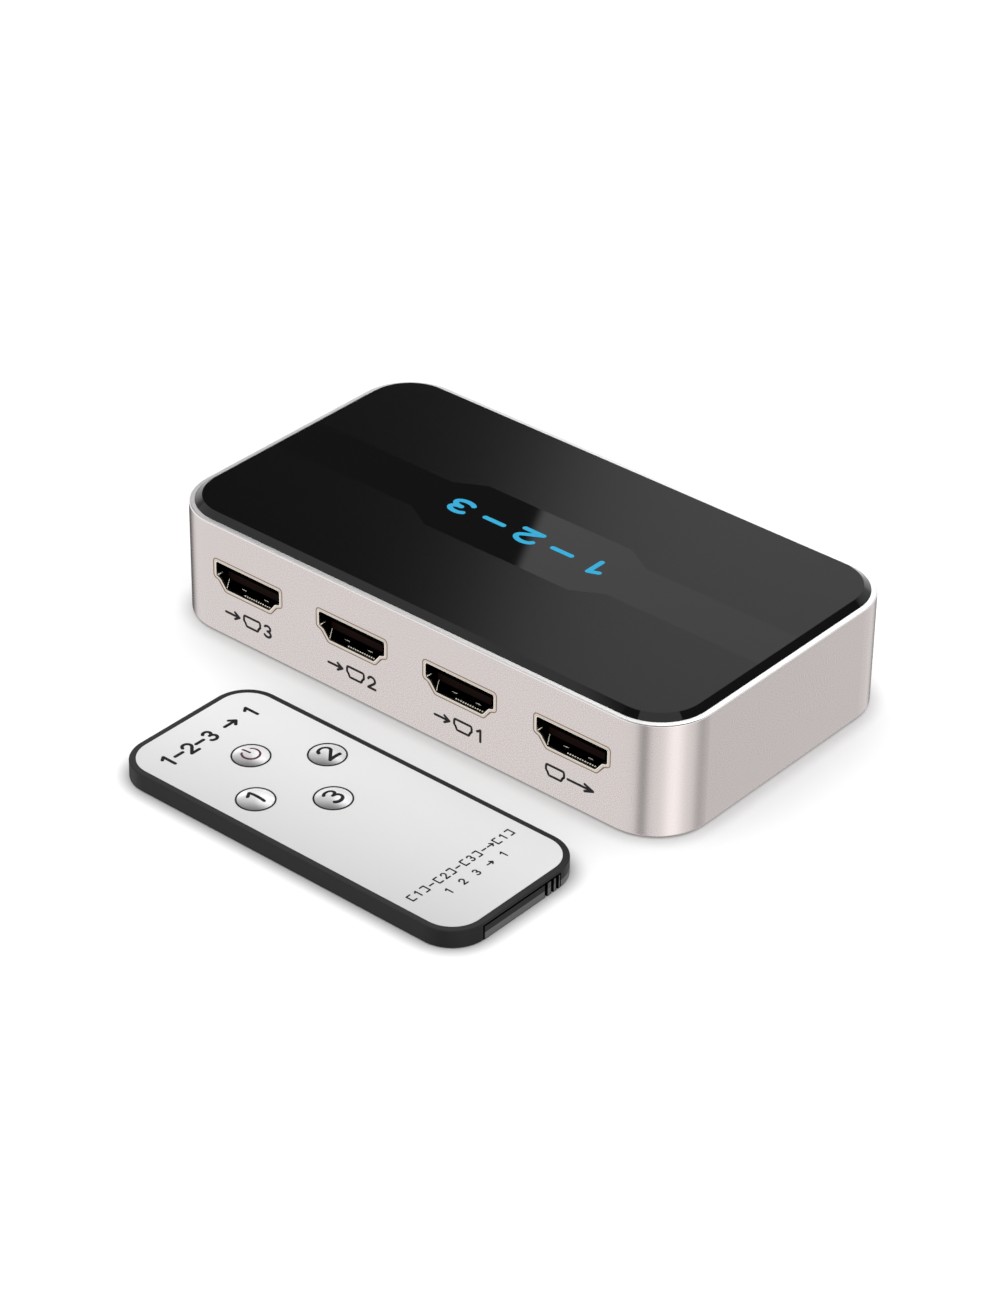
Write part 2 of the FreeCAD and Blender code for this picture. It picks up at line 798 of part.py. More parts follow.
def make_insulator():
    """Moulded block at the back of the shell, with the tongue that the plug goes round."""
    body = new_body("insulator")
    inside = sketch_outline(body, "XZ_Plane", "-shell_length", socket_outline("-block_gap"),
                            "socket_corner")
    pad(body, inside, "block_length")
    tongue = rectangle("-tongue_width / 2", "-tongue_drop - tongue_thick / 2",
                       "tongue_width / 2", "-tongue_drop + tongue_thick / 2")
    pad(body, sketch_outline(body, "XZ_Plane", "-tongue_setback", tongue),
        "shell_length - tongue_setback - block_length / 2", backwards=True)
    return body


def make_shell():
    """Sprung steel shell with four legs that go down through the board."""
    body = new_body("shell")
    outer = sketch_outline(body, "XZ_Plane", "0", socket_outline("shell_wall"),
                           "socket_corner + shell_wall / 2")
    pad(body, outer, "shell_length", backwards=True)
    pocket(body, sketch_outline(body, "XZ_Plane", "0", socket_outline("0"), "socket_corner"))
    for lift in ("socket_width / 2", "-socket_width / 2 - shell_wall"):
        legs = new_sketch(body, "YZ_Plane", lift)
        for leg in ("leg_front", "(leg_front + leg_pitch)"):
            add_outline(legs, rectangle(leg, f"{BOARD_BOTTOM} - socket_axis - leg_below",
                                        f"{leg} + leg_length", "0"))
        pad(body, legs, "shell_wall")
    return body


def make_contacts():
    """Two rows of contacts: blades on the tongue, tails behind the block, feet on the board."""
    body = new_body("contacts")
    front = "(tongue_setback + contact_setback)"
    tail = "(shell_length + contact_tail)"
    board = f"({BOARD_TOP} - socket_axis)"
    rows = (
        ("(-tongue_drop + tongue_thick / 2)", UPPER_CONTACTS),
        ("(-tongue_drop - tongue_thick / 2 + contact_thick)", LOWER_CONTACTS),
    )
    for top, count in rows:
        profile = [
            (front, f"{top} - contact_thick"), (tail, f"{top} - contact_thick"), (tail, board),
            (f"{tail} + contact_foot", board), (f"{tail} + contact_foot", f"{board} + contact_thick"),
            (f"{tail} + contact_thick", f"{board} + contact_thick"),
            (f"{tail} + contact_thick", top), (front, top),
        ]
        span = f"({count} - 1) * contact_pitch"
        sketch = sketch_outline(body, "YZ_Plane", f"-({span}) / 2 - contact_width / 2", profile)
        repeat(body, pad(body, sketch, "contact_width"), "X_Axis", span, count)
    return body


def add_leads(body, across, leads, axis):
    """A row of leads out of two facing sides of a chip, along one axis."""
    span = f"({leads} - 1) * lead_pitch"
    sketch = new_sketch(body, "XY_Plane", "0")
    for side in ("-", ""):
        first = rectangle(f"-({span}) / 2 - lead_width / 2", f"{side}({across} / 2 - lead_root)",
                          f"-({span}) / 2 + lead_width / 2", f"{side}({across} / 2 + lead_reach)")
        if axis == "Y_Axis":
            first = [(along, row) for row, along in first]
        add_outline(sketch, first)
    repeat(body, pad(body, sketch, "lead_thick"), axis, span, leads)


def make_chip(name, spot, length, width, thick, leads, all_round=False):
    """A chip whose leads stand out of two sides, or of all four, on the board."""
    body = new_body(name)
    pad(body, sketch_outline(body, "XY_Plane", "chip_standoff", centred(length, width)), thick)
    dress(body, "Chamfer", lies_at(value(f"chip_standoff + {thick}")), "Size", "chip_edge")
    add_leads(body, width, leads, "X_Axis")
    if all_round:
        add_leads(body, length, leads, "Y_Axis")
    keep(body, name, shifted(SWITCH, (*spot, BOARD_TOP)))


def make_board_parts():
    make_chip("switch_chip", ("0", "chip_y"), "chip_side", "chip_side", "chip_thick",
              CHIP_LEADS, all_round=True)
    make_chip("control_chip", ("control_x", "control_y"), "control_length", "control_width",
              "control_thick", CONTROL_LEADS)
    crystal = new_body("crystal")
    can = centred("crystal_length", "crystal_width")
    pad(crystal, sketch_outline(crystal, "XY_Plane", "0", can, "crystal_width / 2 - edge_round"),
        "crystal_height")
    dress(crystal, "Fillet", lies_at(value("crystal_height")), "Radius", "edge_round")
    keep(crystal, "crystal", shifted(SWITCH, ("crystal_x", "crystal_y", BOARD_TOP)))
    make_regulator()
    cans = []
    for step in range(CAPACITORS):
        x = f"capacitor_x - {step} * capacitor_pitch"
        cans.append(rod((x, "capacitor_y", "0"), "capacitor_radius", "capacitor_height"))
    keep(group(cans), "capacitors", shifted(SWITCH, ("0", "0", BOARD_TOP)))


def make_regulator():
    """Voltage regulator in front of the power jack, with a flat tab out of each long side."""
    block = box(("-regulator_length / 2", "0", "0"),
                ("regulator_length", "regulator_width", "regulator_thick"))
    tab = box(("-regulator_tab_length / 2", "-regulator_tab_reach", "0"),
              ("regulator_tab_length", "regulator_width + 2 * regulator_tab_reach",
               "regulator_tab_thick"))
    y = f"{BACK} - wall - jack_gap - jack_depth - regulator_gap - regulator_width"
    keep(fuse([block, tab]), "regulator", shifted(SWITCH, ("jack_x", y, BOARD_TOP)))


def make_select_button():
    """Turned button, held behind the wall by its flange, and the key that it presses."""
    axis = shifted(SWITCH, ("button_x", BACK, f"{BOARD_TOP} + button_rise"))
    body = new_body("button")
    front = "(-wall - button_float)"
    wide = "(button_radius + button_flange)"
    revolve(body, [
        ("0", BUTTON_BACK), (wide, BUTTON_BACK), (wide, front), ("button_radius", front),
        ("button_radius", "button_proud"), ("0", "button_proud"),
    ], "XY_Plane")
    rounding = value("button_proud")
    dress(body, "Fillet", lambda edge: abs(edge.BoundBox.YMin - rounding) < 1e-4,
          "Radius", "edge_round")
    keep(body, "select_button", axis)
    keep(rod(ORIGIN, "plunger_radius", "plunger_free + plunger_in", along_y=True),
         "select_plunger", shifted(axis, ("0", f"{KEY_FRONT} - plunger_in", "0")))
    block = box(("-key_width / 2", f"{KEY_FRONT} - key_depth", "-button_rise"),
                ("key_width", "key_depth", "key_height"))
    bore = rod(("0", f"{KEY_FRONT} - plunger_bore", "0"), "plunger_radius + plunger_gap",
               "plunger_bore", along_y=True)
    keep(cut(block, bore), "select_switch", axis)


def make_lamps():
    """Four lamps on the board, and one clear moulding that leads their light through the wall."""
    place = shifted(SWITCH, ("0", BACK, BOARD_TOP))
    back = "(-wall - guide_back - guide_depth)"
    low = "(led_height + led_clearance)"
    width = f"(({LAMPS} - 1) * lamp_pitch + 2 * guide_end)"
    bar = box((f"lamp_x - {width} / 2", back, low),
              (width, "guide_depth", f"lamp_rise + guide_height / 2 - {low}"))
    pipes = [bar]
    leds = []
    for step in range(LAMPS):
        pipes.append(rod((lamp_x(step), f"{back} + guide_depth / 2", "lamp_rise"), "lamp_radius",
                         f"-{back} - guide_depth / 2", along_y=True))
        leds.append(box((f"{lamp_x(step)} - led_length / 2", back, "0"),
                        ("led_length", "led_width", "led_height")))
    keep(fuse(pipes), "light_guide", place)
    keep(group(leds), "status_lamps", place)


def make_window():
    """Dark infrared window, let in from inside the back wall, with the receiver behind it."""
    place = shifted(SWITCH, ("window_x", BACK, f"{BOARD_TOP} + window_rise"))
    body = new_body("window")
    depth = "(wall + window_gap)"
    pane = centred("window_width", "window_height")
    pad(body, sketch_outline(body, "XZ_Plane", "0", pane, "window_corner"), depth)
    lip = centred("window_width + 2 * window_lip", "window_height + 2 * window_lip")
    pad(body, sketch_outline(body, "XZ_Plane", depth, lip, "window_corner"), "window_lip_thick")
    keep(body, "infrared_window", place)

    front = "(-wall - window_gap - window_lip_thick - receiver_clearance - receiver_lens)"
    block = box(("-receiver_width / 2", f"{front} - receiver_depth", "-window_rise"),
                ("receiver_width", "receiver_depth", "receiver_height"))
    lens = doc.addObject("Part::Sphere", "lens")
    lens.setExpression("Radius", formula("receiver_lens"))
    put(lens, ("0", front, "0"))
    keep(fuse([block, lens]), "infrared_receiver", place)


def make_jack():
    """Barrel jack: moulded body with a collar in the wall, centre pin and side spring."""
    place = shifted(SWITCH, ("jack_x", BACK, f"{BOARD_TOP} + jack_rise"))
    back = "(-wall - jack_gap - jack_depth)"
    block = box(("-jack_width / 2", back, "-jack_rise"), ("jack_width", "jack_depth", "jack_height"))
    collar = rod(("0", "-wall - jack_gap", "0"), "jack_collar", "wall + jack_gap", along_y=True)
    bore = rod(("0", "-jack_bore_depth", "0"), "jack_bore", "jack_bore_depth", along_y=True)
    spring_spot = ("-spring_width / 2", "-jack_bore_depth", "-jack_bore - spring_thick")
    slot = box(spring_spot, ("spring_width", "spring_length", "jack_bore"))
    shell = cut(fuse([block, collar]), fuse([bore, slot]))
    pin_from = ("0", f"{back} + jack_pin_root", "0")
    pin_size = ("jack_pin", f"-jack_pin_setback - {back} - jack_pin_root")
    keep(cut(shell, rod(pin_from, *pin_size, along_y=True)), "power_jack", place)
    keep(rod(ORIGIN, *pin_size, along_y=True), "power_jack_pin", shifted(place, pin_from))
    keep(box(ORIGIN, ("spring_width", "spring_length", "spring_thick")), "power_jack_spring",
         shifted(place, spring_spot))


def make_remote_case():
    body = new_body("remote_case")
    pad(body, sketch_outline(body, "XY_Plane", "0", *remote_outline("0")), "remote_height")
    dress(body, "Fillet", lambda edge: lies_at(0)(edge) or lies_at(value("remote_height"))(edge),
          "Radius", "remote_round")
    pocket(body, sketch_outline(body, "XY_Plane", "remote_height", *remote_outline(CAVITY_INSET)),
           "remote_height - floor_thick")
    pocket(body, sketch_outline(body, "XY_Plane", "remote_height", *remote_outline("border")),
           "plate_thick")
    post_x = [f"{CARD_LEFT} + card_post_inset", "card_end - card_post_inset"]
    spots = [(x, f"{side}({CARD_HALF} - card_post_margin)") for x in post_x for side in ("-", "")]
    pad(body, sketch_circles(body, "XY_Plane", "floor_thick", spots, "stem_radius"), "card_rise")
    rail_from = f"{CELL_X} - cell_radius"
    rail_to = f"remote_length / 2 - {CAVITY_INSET}"
    for side in ("-", ""):
        near = f"{side}({TRAY_HALF} + tray_gap)"
        far = f"{side}({TRAY_HALF} + tray_gap + ledge)"
        rail = [(rail_from, near), (rail_to, near), (rail_to, far), (rail_from, far)]
        pad(body, sketch_outline(body, "XY_Plane", "floor_thick", rail), f"{PLATE_BOTTOM} - floor_thick")
    mouth = rectangle(f"-{TRAY_HALF} - tray_gap", "-floor_thick", f"{TRAY_HALF} + tray_gap",
                      f"{TRAY_TOP} + strip_thick")
    wall_from = f"remote_length / 2 - {CAVITY_INSET}"
    pocket(body, sketch_outline(body, "YZ_Plane", wall_from, mouth), backwards=True)
    latch_mouth = rectangle(f"{TRAY_HALF} - latch_width - latch_travel - tray_gap", "0",
                            f"{TRAY_HALF} + tray_gap", "latch_height + end_lift")
    pocket(body, sketch_outline(body, "YZ_Plane", wall_from, latch_mouth), backwards=True)
    port_low = f"{CARD_TOP} - port_gap"
    port = rectangle("-port_width / 2 - port_gap", port_low, "port_width / 2 + port_gap",
                     f"{port_low} + port_height + 2 * port_gap")
    port_from = f"-(remote_length / 2 - {CAVITY_INSET})"
    pocket(body, sketch_outline(body, "YZ_Plane", port_from, port))
    keep(body, "remote_case", REMOTE)


def make_faceplate():
    body = new_body("faceplate")
    plan = remote_outline("border + plate_gap")
    pad(body, sketch_outline(body, "XY_Plane", PLATE_BOTTOM, *plan), "plate_thick")
    pocket(body, sketch_circles(body, "XY_Plane", "remote_height", BUTTON_SPOTS.values(),
                                "cap_radius + cap_gap"))
    keep(body, "remote_faceplate", REMOTE)


def make_remote_button(name, x, y):
    """Domed cap with a flange under the faceplate and a stem above its snap dome."""
    flange_top = f"({PLATE_BOTTOM} - cap_float)"
    flange_low = f"({flange_top} - cap_flange_thick)"
    crown = "(remote_height + cap_dome)"
    ball_radius = "((cap_radius * cap_radius + cap_dome * cap_dome) / (2 * cap_dome))"
    shaft = rod(("0", "0", flange_low), "cap_radius", f"{crown} - {flange_low}")
    ball = doc.addObject("Part::Sphere", "ball")
    ball.setExpression("Radius", formula(ball_radius))
    put(ball, ("0", "0", f"{crown} - {ball_radius}"))
    dome = common(shaft, ball)
    flange = rod(("0", "0", flange_low), "cap_radius + cap_flange", "cap_flange_thick")
    stem = rod(("0", "0", f"{flange_low} - stem_length"), "stem_radius", "stem_length")
    keep(fuse([dome, flange, stem]), f"remote_button_{name}", shifted(REMOTE, (x, y, "0")))


def make_remote_board():
    body = new_body("card")
    plan = rectangle(CARD_LEFT, f"-{CARD_HALF}", "card_end", CARD_HALF)
    corner = f"remote_corner - {CAVITY_INSET} - card_margin"
    pad(body, sketch_outline(body, "XY_Plane", "floor_thick + card_rise", plan, corner), "card_thick")
    keep(body, "remote_board", REMOTE)

    domes = []
    ball_radius = "((snap_radius * snap_radius + snap_height * snap_height) / (2 * snap_height))"
    for x, y in BUTTON_SPOTS.values():
        disc = rod((x, y, CARD_TOP), "snap_radius", "snap_height")
        balls = []
        for shrink in ("0", "snap_wall"):
            ball = doc.addObject("Part::Sphere", "ball")
            ball.setExpression("Radius", formula(f"{ball_radius} - {shrink}"))
            put(ball, (x, y, f"{CARD_TOP} + snap_height - {ball_radius}"))
            balls.append(ball)
        domes.append(cut(common(disc, balls[0]), balls[1]))
    keep(group(domes), "snap_domes", REMOTE)

    die = box(ORIGIN, ("die_side", "die_side", "die_thick"))
    keep(die, "remote_chip",
         shifted(REMOTE, ("card_end - die_setback - die_side", "-die_side / 2", CARD_TOP)))
    emitter = box(ORIGIN, ("emitter_length", "emitter_width", "emitter_height"))
    keep(emitter, "remote_emitter", shifted(REMOTE, (CARD_LEFT, "-emitter_width / 2", CARD_TOP)))
    window = box(ORIGIN, (f"{CAVITY_INSET} - port_gap", "port_width", "port_height"))
    keep(window, "remote_window",
         shifted(REMOTE, ("-remote_length / 2 + port_gap", "-port_width / 2", CARD_TOP)))


def make_tray():
    """Tray that slides out of the remote's end: a ring round the cell behind an end piece."""
    body = new_body("tray")
    tail = f"{CELL_X} - cell_radius - tray_tail"
    end = f"(remote_length / 2 - {CAVITY_INSET} + tray_gap)"
    frame = rectangle(tail, f"-{TRAY_HALF}", end, TRAY_HALF)
    pad(body, sketch_outline(body, "XY_Plane", TRAY_BOTTOM, frame), f"{TRAY_TOP} - {TRAY_BOTTOM}")
    cap = rectangle(end, f"-{TRAY_HALF}", "remote_length / 2", TRAY_HALF)
    pad(body, sketch_outline(body, "XY_Plane", "end_lift", cap), f"{TRAY_TOP} - end_lift")
    well = sketch_circles(body, "XY_Plane", TRAY_TOP, [(CELL_X, "0")], "cell_radius + cell_gap")
    pocket(body, well, "cell_thick")
    hole = sketch_circles(body, "XY_Plane", TRAY_TOP, [(CELL_X, "0")], "cell_radius - tray_lip_width")
    pocket(body, hole)
    side = f"({TRAY_HALF} - latch_width)"
    notch = rectangle("remote_length / 2 - latch_length - latch_gap",
                      f"{side} - latch_travel - latch_gap", "remote_length / 2 + tray_gap",
                      f"{TRAY_HALF} + tray_gap")
    pocket(body, sketch_outline(body, "XY_Plane", TRAY_TOP, notch))
    keep(body, "battery_tray", REMOTE)

    latch = new_body("latch")
    block = rectangle("remote_length / 2 - latch_length", side, "remote_length / 2", TRAY_HALF)
    pad(latch, sketch_outline(latch, "XY_Plane", TRAY_BOTTOM, block), f"latch_height - {TRAY_BOTTOM}")
    foot = rectangle(end, side, "remote_length / 2", TRAY_HALF)
    pad(latch, sketch_outline(latch, "XY_Plane", "end_lift", foot), "latch_height - end_lift")
    groove = rectangle("remote_length / 2 - rib_depth", f"{side} + rib_pitch - rib_width / 2",
                       "remote_length / 2 + tray_gap", f"{side} + rib_pitch + rib_width / 2")
    ribs = pocket(latch, sketch_outline(latch, "XY_Plane", "latch_height", groove))
    repeat(latch, ribs, "Y_Axis", "rib_pitch", 2)
    keep(latch, "tray_latch", REMOTE)


def make_cell():
    cell = fuse([
        rod(("0", "0", "cell_step"), "cell_radius", "cell_thick - cell_step"),
        rod(("0", "0", "0"), "cell_radius - tray_lip_width - cell_step", "cell_step"),
    ])
    keep(cell, "coin_cell", shifted(REMOTE, (CELL_X, "0", CELL_BOTTOM)))
    low = box(ORIGIN, ("strip_length", "strip_width", "strip_thick"))
    spot = (f"{CELL_X} - strip_length", "-strip_width / 2", "floor_thick")
    keep(low, "cell_contact_minus", shifted(REMOTE, spot))
    high = box(ORIGIN, ("strip_length", "strip_width", "strip_thick"))
    spot = (f"{CELL_X} - strip_length", "-strip_width / 2", f"{PLATE_BOTTOM} - strip_thick")
    keep(high, "cell_contact_plus", shifted(REMOTE, spot))


def check_model():
    """Refuse to write anything while an object has failed or a sub-part isn't sound."""
    for thing in doc.Objects:
        if "Invalid" in thing.State or "Error" in thing.State:
            raise RuntimeError(f"{thing.Name} ({thing.Label}) is {thing.State}")
    for node in nodes:
        if node.Shape.isNull() or not node.Shape.isValid() or not node.Shape.Solids:
            raise RuntimeError(f"{node.Label} isn't a sound solid")


make_housing()
make_panel()
make_base()
make_feet()
make_all_screws()
make_board()
make_sockets()
make_board_parts()
make_select_button()
make_lamps()
make_window()
make_jack()
make_remote_case()
make_faceplate()
for button_name, (button_at_x, button_at_y) in BUTTON_SPOTS.items():
    make_remote_button(button_name, button_at_x, button_at_y)
make_remote_board()
make_tray()
make_cell()

doc.recompute()
check_model()
os.makedirs("parts", exist_ok=True)
for node in nodes:
    node.Shape.exportStep(f"parts/{node.Label}.step")
    extent = node.Shape.BoundBox
    print(f"{node.Label:26s} {len(node.Shape.Solids):3d} solids {node.Shape.Volume:10.2f} mm3"
          f"  z {extent.ZMin:.2f} to {extent.ZMax:.2f}")
print(len(nodes), "nodes")
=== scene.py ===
"""Looks of the video switch and its card remote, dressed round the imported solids."""

import json
import math

import bpy
from mathutils import Matrix, Vector

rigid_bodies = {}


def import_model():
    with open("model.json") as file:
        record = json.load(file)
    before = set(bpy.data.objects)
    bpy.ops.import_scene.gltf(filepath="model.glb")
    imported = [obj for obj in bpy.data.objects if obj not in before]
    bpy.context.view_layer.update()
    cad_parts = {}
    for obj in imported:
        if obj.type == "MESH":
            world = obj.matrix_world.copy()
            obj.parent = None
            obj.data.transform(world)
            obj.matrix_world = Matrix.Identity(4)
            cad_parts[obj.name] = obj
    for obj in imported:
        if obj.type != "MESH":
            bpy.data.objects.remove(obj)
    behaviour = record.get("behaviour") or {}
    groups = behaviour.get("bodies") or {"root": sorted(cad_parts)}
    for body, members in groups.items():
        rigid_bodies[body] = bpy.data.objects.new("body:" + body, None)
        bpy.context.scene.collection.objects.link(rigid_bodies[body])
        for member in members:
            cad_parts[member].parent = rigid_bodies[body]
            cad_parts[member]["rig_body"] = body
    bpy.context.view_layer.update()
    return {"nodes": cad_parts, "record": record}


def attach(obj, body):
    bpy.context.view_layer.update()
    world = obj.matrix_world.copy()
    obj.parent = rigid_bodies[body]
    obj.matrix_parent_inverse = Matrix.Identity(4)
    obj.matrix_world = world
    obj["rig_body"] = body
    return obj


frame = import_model()

MM = 0.001
TURN = 2 * math.pi

# The switch in the part's frame. Lengths in these lists are in millimetres.
SWITCH_Y = 19.9
SWITCH_FRONT = -9.6
SWITCH_BACK = 49.4
RIM_LOW = 20.45
PANEL_TOP = 21.61
BACK_ROW_Z = 12.425
BACK_MARKS_Z = BACK_ROW_Z - 4.4
SELECT_X = 24.0
JACK_X = -34.0
LAMP_X = [-9.5, -4.5, 0.5, 5.5]

# The mirror band along the panel is wide in its middle and narrow at its ends.
BAND_HALF_WIDE = 8.0
BAND_HALF_NARROW = 5.0
BAND_TAPER = (15.0, 20.3)

# The sockets' openings.
SOCKET_X = {"in_3": -33.9, "in_2": -11.3, "in_1": 11.3, "out": 33.9}
SOCKET_Z = 11.6
SOCKET_HALF_WIDTH = 7.0
SOCKET_HALF_HEIGHT = 2.275
SOCKET_SIDE = 2.63
SOCKET_SHELF = 1.0
SOCKET_SHELF_FALL = 0.3
SOCKET_FLOOR = SOCKET_Z - SOCKET_HALF_HEIGHT
SOCKET_FLOOR_HALF = 4.75
SOCKET_CORNER = 0.45
LABEL_Z = 5.1

# A polished bead round each opening, a line of painted shade in the gap round its shell, and a row of
# contact studs in a bright cream that stands in for their glints.
BEAD_RADIUS = 0.08
BEAD_GROW = 0.07
# The painted shade line in the gap round each shell: its tube's radius, how far out it lies, its corners.
GAP_SHADE_RADIUS = 0.075
GAP_SHADE_GROW = 0.57
GAP_SHADE_CORNER = 0.7
STUDS = 12
STUD_PITCH = 0.488
STUD_FIRST = -1.1
STUD_HALF = 0.12
STUD_DEPTHS = (0.52, 0.66)
STUD_SINK = 0.02
STUD_RISE = 0.13

# The remote.
REMOTE_SPOT = (10.7, -35.1)
REMOTE_BACK = -20.2
REMOTE_TOP = 3.2
REMOTE_END = REMOTE_SPOT[0] + 35.3
TRAY_HALF = 8.6
TRAY_TOP = 2.57
TRAY_STEP = 1.3
LATCH_EDGE = 5.2
# Middles and half width of the painted shade laid over the gap and the two grooves beside the latch.
LATCH_SHADE_BARS = (5.44, 6.85, 8.0)
LATCH_SHADE_BAR_HALF = 0.36
BUTTON_SPOTS = {"power": (-19.85, 0), "1": (-11.2, -8.05), "2": (-11.2, 8.05), "3": (-2.55, 0)}
DOME_RADIUS = 2.95
DOME_RISE = 0.5
DOME_BALL = (DOME_RADIUS ** 2 + DOME_RISE ** 2) / (2 * DOME_RISE)
# Radius of the painted shade ring over the gap round each cap.
CAP_SHADE_RING_RADIUS = 3.05

# The camera: azimuth, elevation and roll in degrees, then where it looks and from how far.
CAMERA_TURNS = (40.115, 32.826, 0.847)
CAMERA_TARGET = (7.195, 4.923, 10.4)
CAMERA_DISTANCE = 629.8
CAMERA_LENS = 110.39
CAMERA_SENSOR = 36

# Colours, as linear red, green and blue.
PRINT_BLUE = (0.02, 0.33, 0.55)
PRINT_BLACK = (0.012, 0.012, 0.014)
PRINT_RED = (0.1, 0.03, 0.036)

# Light, as radiance: what matt surfaces get from all round, the soft box, and the floor's own share.
FILL = 1.26
SOFT_BOX = 0.1
FLOOR_GLOW = 0.02


# Shader building.

class Nodes:
    """A tree of shader nodes, built up with plain calls."""

    def __init__(self, tree):
        self.tree = tree

    def node(self, kind, output, operation=None, settings=None, **sockets):
        """Add a node, feed its sockets with numbers, colours or other nodes, and return one output.

        A socket goes by its name, with _ for a blank, or by its place, as in n0 for the first.
        """
        made = self.tree.nodes.new(kind)
        if operation:
            made.operation = operation
        for setting, choice in (settings or {}).items():
            setattr(made, setting, choice)
        for socket, source in sockets.items():
            by_place = socket[0] == "n" and socket[1:].isdigit()
            key = int(socket[1:]) if by_place else socket.replace("_", " ")
            if isinstance(source, bpy.types.NodeSocket):
                self.tree.links.new(source, made.inputs[key])
            else:
                made.inputs[key].default_value = source
        return made.outputs[output]

    def math(self, operation, a, b=0.0, c=0.0):
        return self.node("ShaderNodeMath", 0, operation, n0=a, n1=b, n2=c)

    def all_of(self, *masks):
        """One where every mask is one."""
        share = masks[0]
        for mask in masks[1:]:
            share = self.math("MULTIPLY", share, mask)
        return share

    def light_path(self):
        return self.tree.nodes.new("ShaderNodeLightPath").outputs

    def seen(self):
        """One for what the camera sees, straight or through clear plastic."""
        path = self.light_path()
        return self.math("MAXIMUM", path["Is Camera Ray"], path["Is Transmission Ray"])


class Paint(Nodes):
    """One procedural material, with the part's frame in millimetres to draw its patterns in."""

    def __init__(self, name, **sockets):
        self.material = bpy.data.materials.new(name)
        self.material.use_nodes = True
        super().__init__(self.material.node_tree)
        self.shader = self.tree.nodes["Principled BSDF"]
        for socket, amount in sockets.items():
            self.shader.inputs[socket.replace("_", " ")].default_value = amount
        place = self.tree.nodes.new("ShaderNodeTexCoord").outputs["Object"]
        self.place = self.node("ShaderNodeVectorMath", "Vector", "SCALE", Vector=place, Scale=1 / MM)

    def noise(self, size, detail=2.0, stretch=(1, 1, 1)):
        """Cloudy value from 0 to 1 whose lumps are about this many millimetres across."""
        where = self.node("ShaderNodeVectorMath", "Vector", "MULTIPLY", n0=self.place,
                          n1=[1 / (size * s) for s in stretch])
        return self.node("ShaderNodeTexNoise", "Fac", Vector=where, Scale=1.0, Detail=detail)

    def spread(self, value, low, high, from_low=0.3, from_high=0.7):
        """Map a value on to a range, and hold it there."""
        return self.node("ShaderNodeMapRange", 0, Value=value, n1=from_low, n2=from_high, n3=low, n4=high)

    def inside(self, value, low, high, soft=0.02):
        """One between two limits."""
        above = self.spread(value, 0.0, 1.0, low - soft, low + soft)
        below = self.spread(value, 1.0, 0.0, high - soft, high + soft)
        return self.math("MULTIPLY", above, below)

    def above(self, value, limit):
        return self.math("GREATER_THAN", value, limit)

    def below(self, value, limit):
        return self.math("LESS_THAN", value, limit)

    def blend(self, share, a, b):
        """Mix two colours."""
        full = [c if isinstance(c, bpy.types.NodeSocket) else (*c, 1.0) for c in (a, b)]
        settings = {"data_type": "RGBA"}
        return self.node("ShaderNodeMix", 2, settings=settings, n0=share, n6=full[0], n7=full[1])

    def axis(self, name):
        """One coordinate of the part's frame, in millimetres."""
        return self.node("ShaderNodeSeparateXYZ", name, Vector=self.place)

    def feed(self, socket, source):
        self.tree.links.new(source, self.shader.inputs[socket])

    def fed(self, socket):
        """What is joined to one of the shader's sockets so far."""
        return self.shader.inputs[socket].links[0].from_socket

    def tone(self, share, factor):
        """Make the colour lighter or darker where a mask is one."""
        colour = self.fed("Base Color")
        gain = self.spread(share, 1.0, factor, 0.0, 1.0)
        toned = self.node("ShaderNodeVectorMath", "Vector", "SCALE", Vector=colour, Scale=gain)
        self.feed("Base Color", toned)

    def bump(self, height, depth):
        """Raise the surface by up to a depth in millimetres."""
        raised = self.node("ShaderNodeBump", 0, Strength=1.0, Distance=depth * MM, Height=height)
        self.feed("Normal", raised)


def shade(colour, factor):
    return tuple(min(1.0, c * factor) for c in colour)


def surface(name, colour, rough, metal=0.0, patch=6.0, tint=0.05, uneven=0.04, grain=0.25, depth=0.002,
            stretch=(1, 1, 1), **sockets):
    """A finish whose colour and roughness drift in patches and whose skin has a fine grain."""
    paint = Paint(name, Metallic=metal, **sockets)
    patches = paint.noise(patch, 3.0)
    paint.feed("Base Color", paint.blend(patches, shade(colour, 1 - tint), shade(colour, 1 + tint)))
    fine = paint.noise(grain, 2.0, stretch)
    paint.feed("Roughness", paint.spread(fine, rough - uneven, rough + uneven))
    paint.bump(fine, depth)
    return paint


# Strokes of ink, drawn as points in a plane.

def arc(x, y, radius, start, end, steps=14, width=1.0):
    """Points along an arc, between two angles in degrees."""
    angles = [math.radians(start + (end - start) * i / steps) for i in range(steps + 1)]
    return [(x + radius * width * math.cos(a), y + radius * math.sin(a)) for a in angles]


GLYPHS = {
    "1": [[(-0.22, 0.3), (0.06, 0.5), (0.06, -0.5)]],
    "2": [arc(0, 0.2, 0.3, 165, -38) + [(-0.3, -0.5), (0.34, -0.5)]],
    "3": [arc(-0.02, 0.26, 0.24, 150, -90, width=1.1), arc(-0.02, -0.24, 0.26, 90, -150, width=1.15)],
    "-": [[(-0.32, 0), (0.32, 0)]],
    ">": [[(-0.5, 0), (0.44, 0)], [(0.14, 0.3), (0.46, 0), (0.14, -0.3)]],
    "[": [[(0.3, 0.5), (-0.3, 0.5), (-0.3, -0.5), (0.3, -0.5)]],
    "]": [[(-0.3, 0.5), (0.3, 0.5), (0.3, -0.5), (-0.3, -0.5)]],
}


def glyph(name, centre, height, width=1.0):
    """Strokes of one figure or sign. An arrow, ">", is about as long as its height times its width."""
    x0, y0 = centre
    return [[(x0 + x * height * width, y0 + y * height) for x, y in stroke] for stroke in GLYPHS[name]]


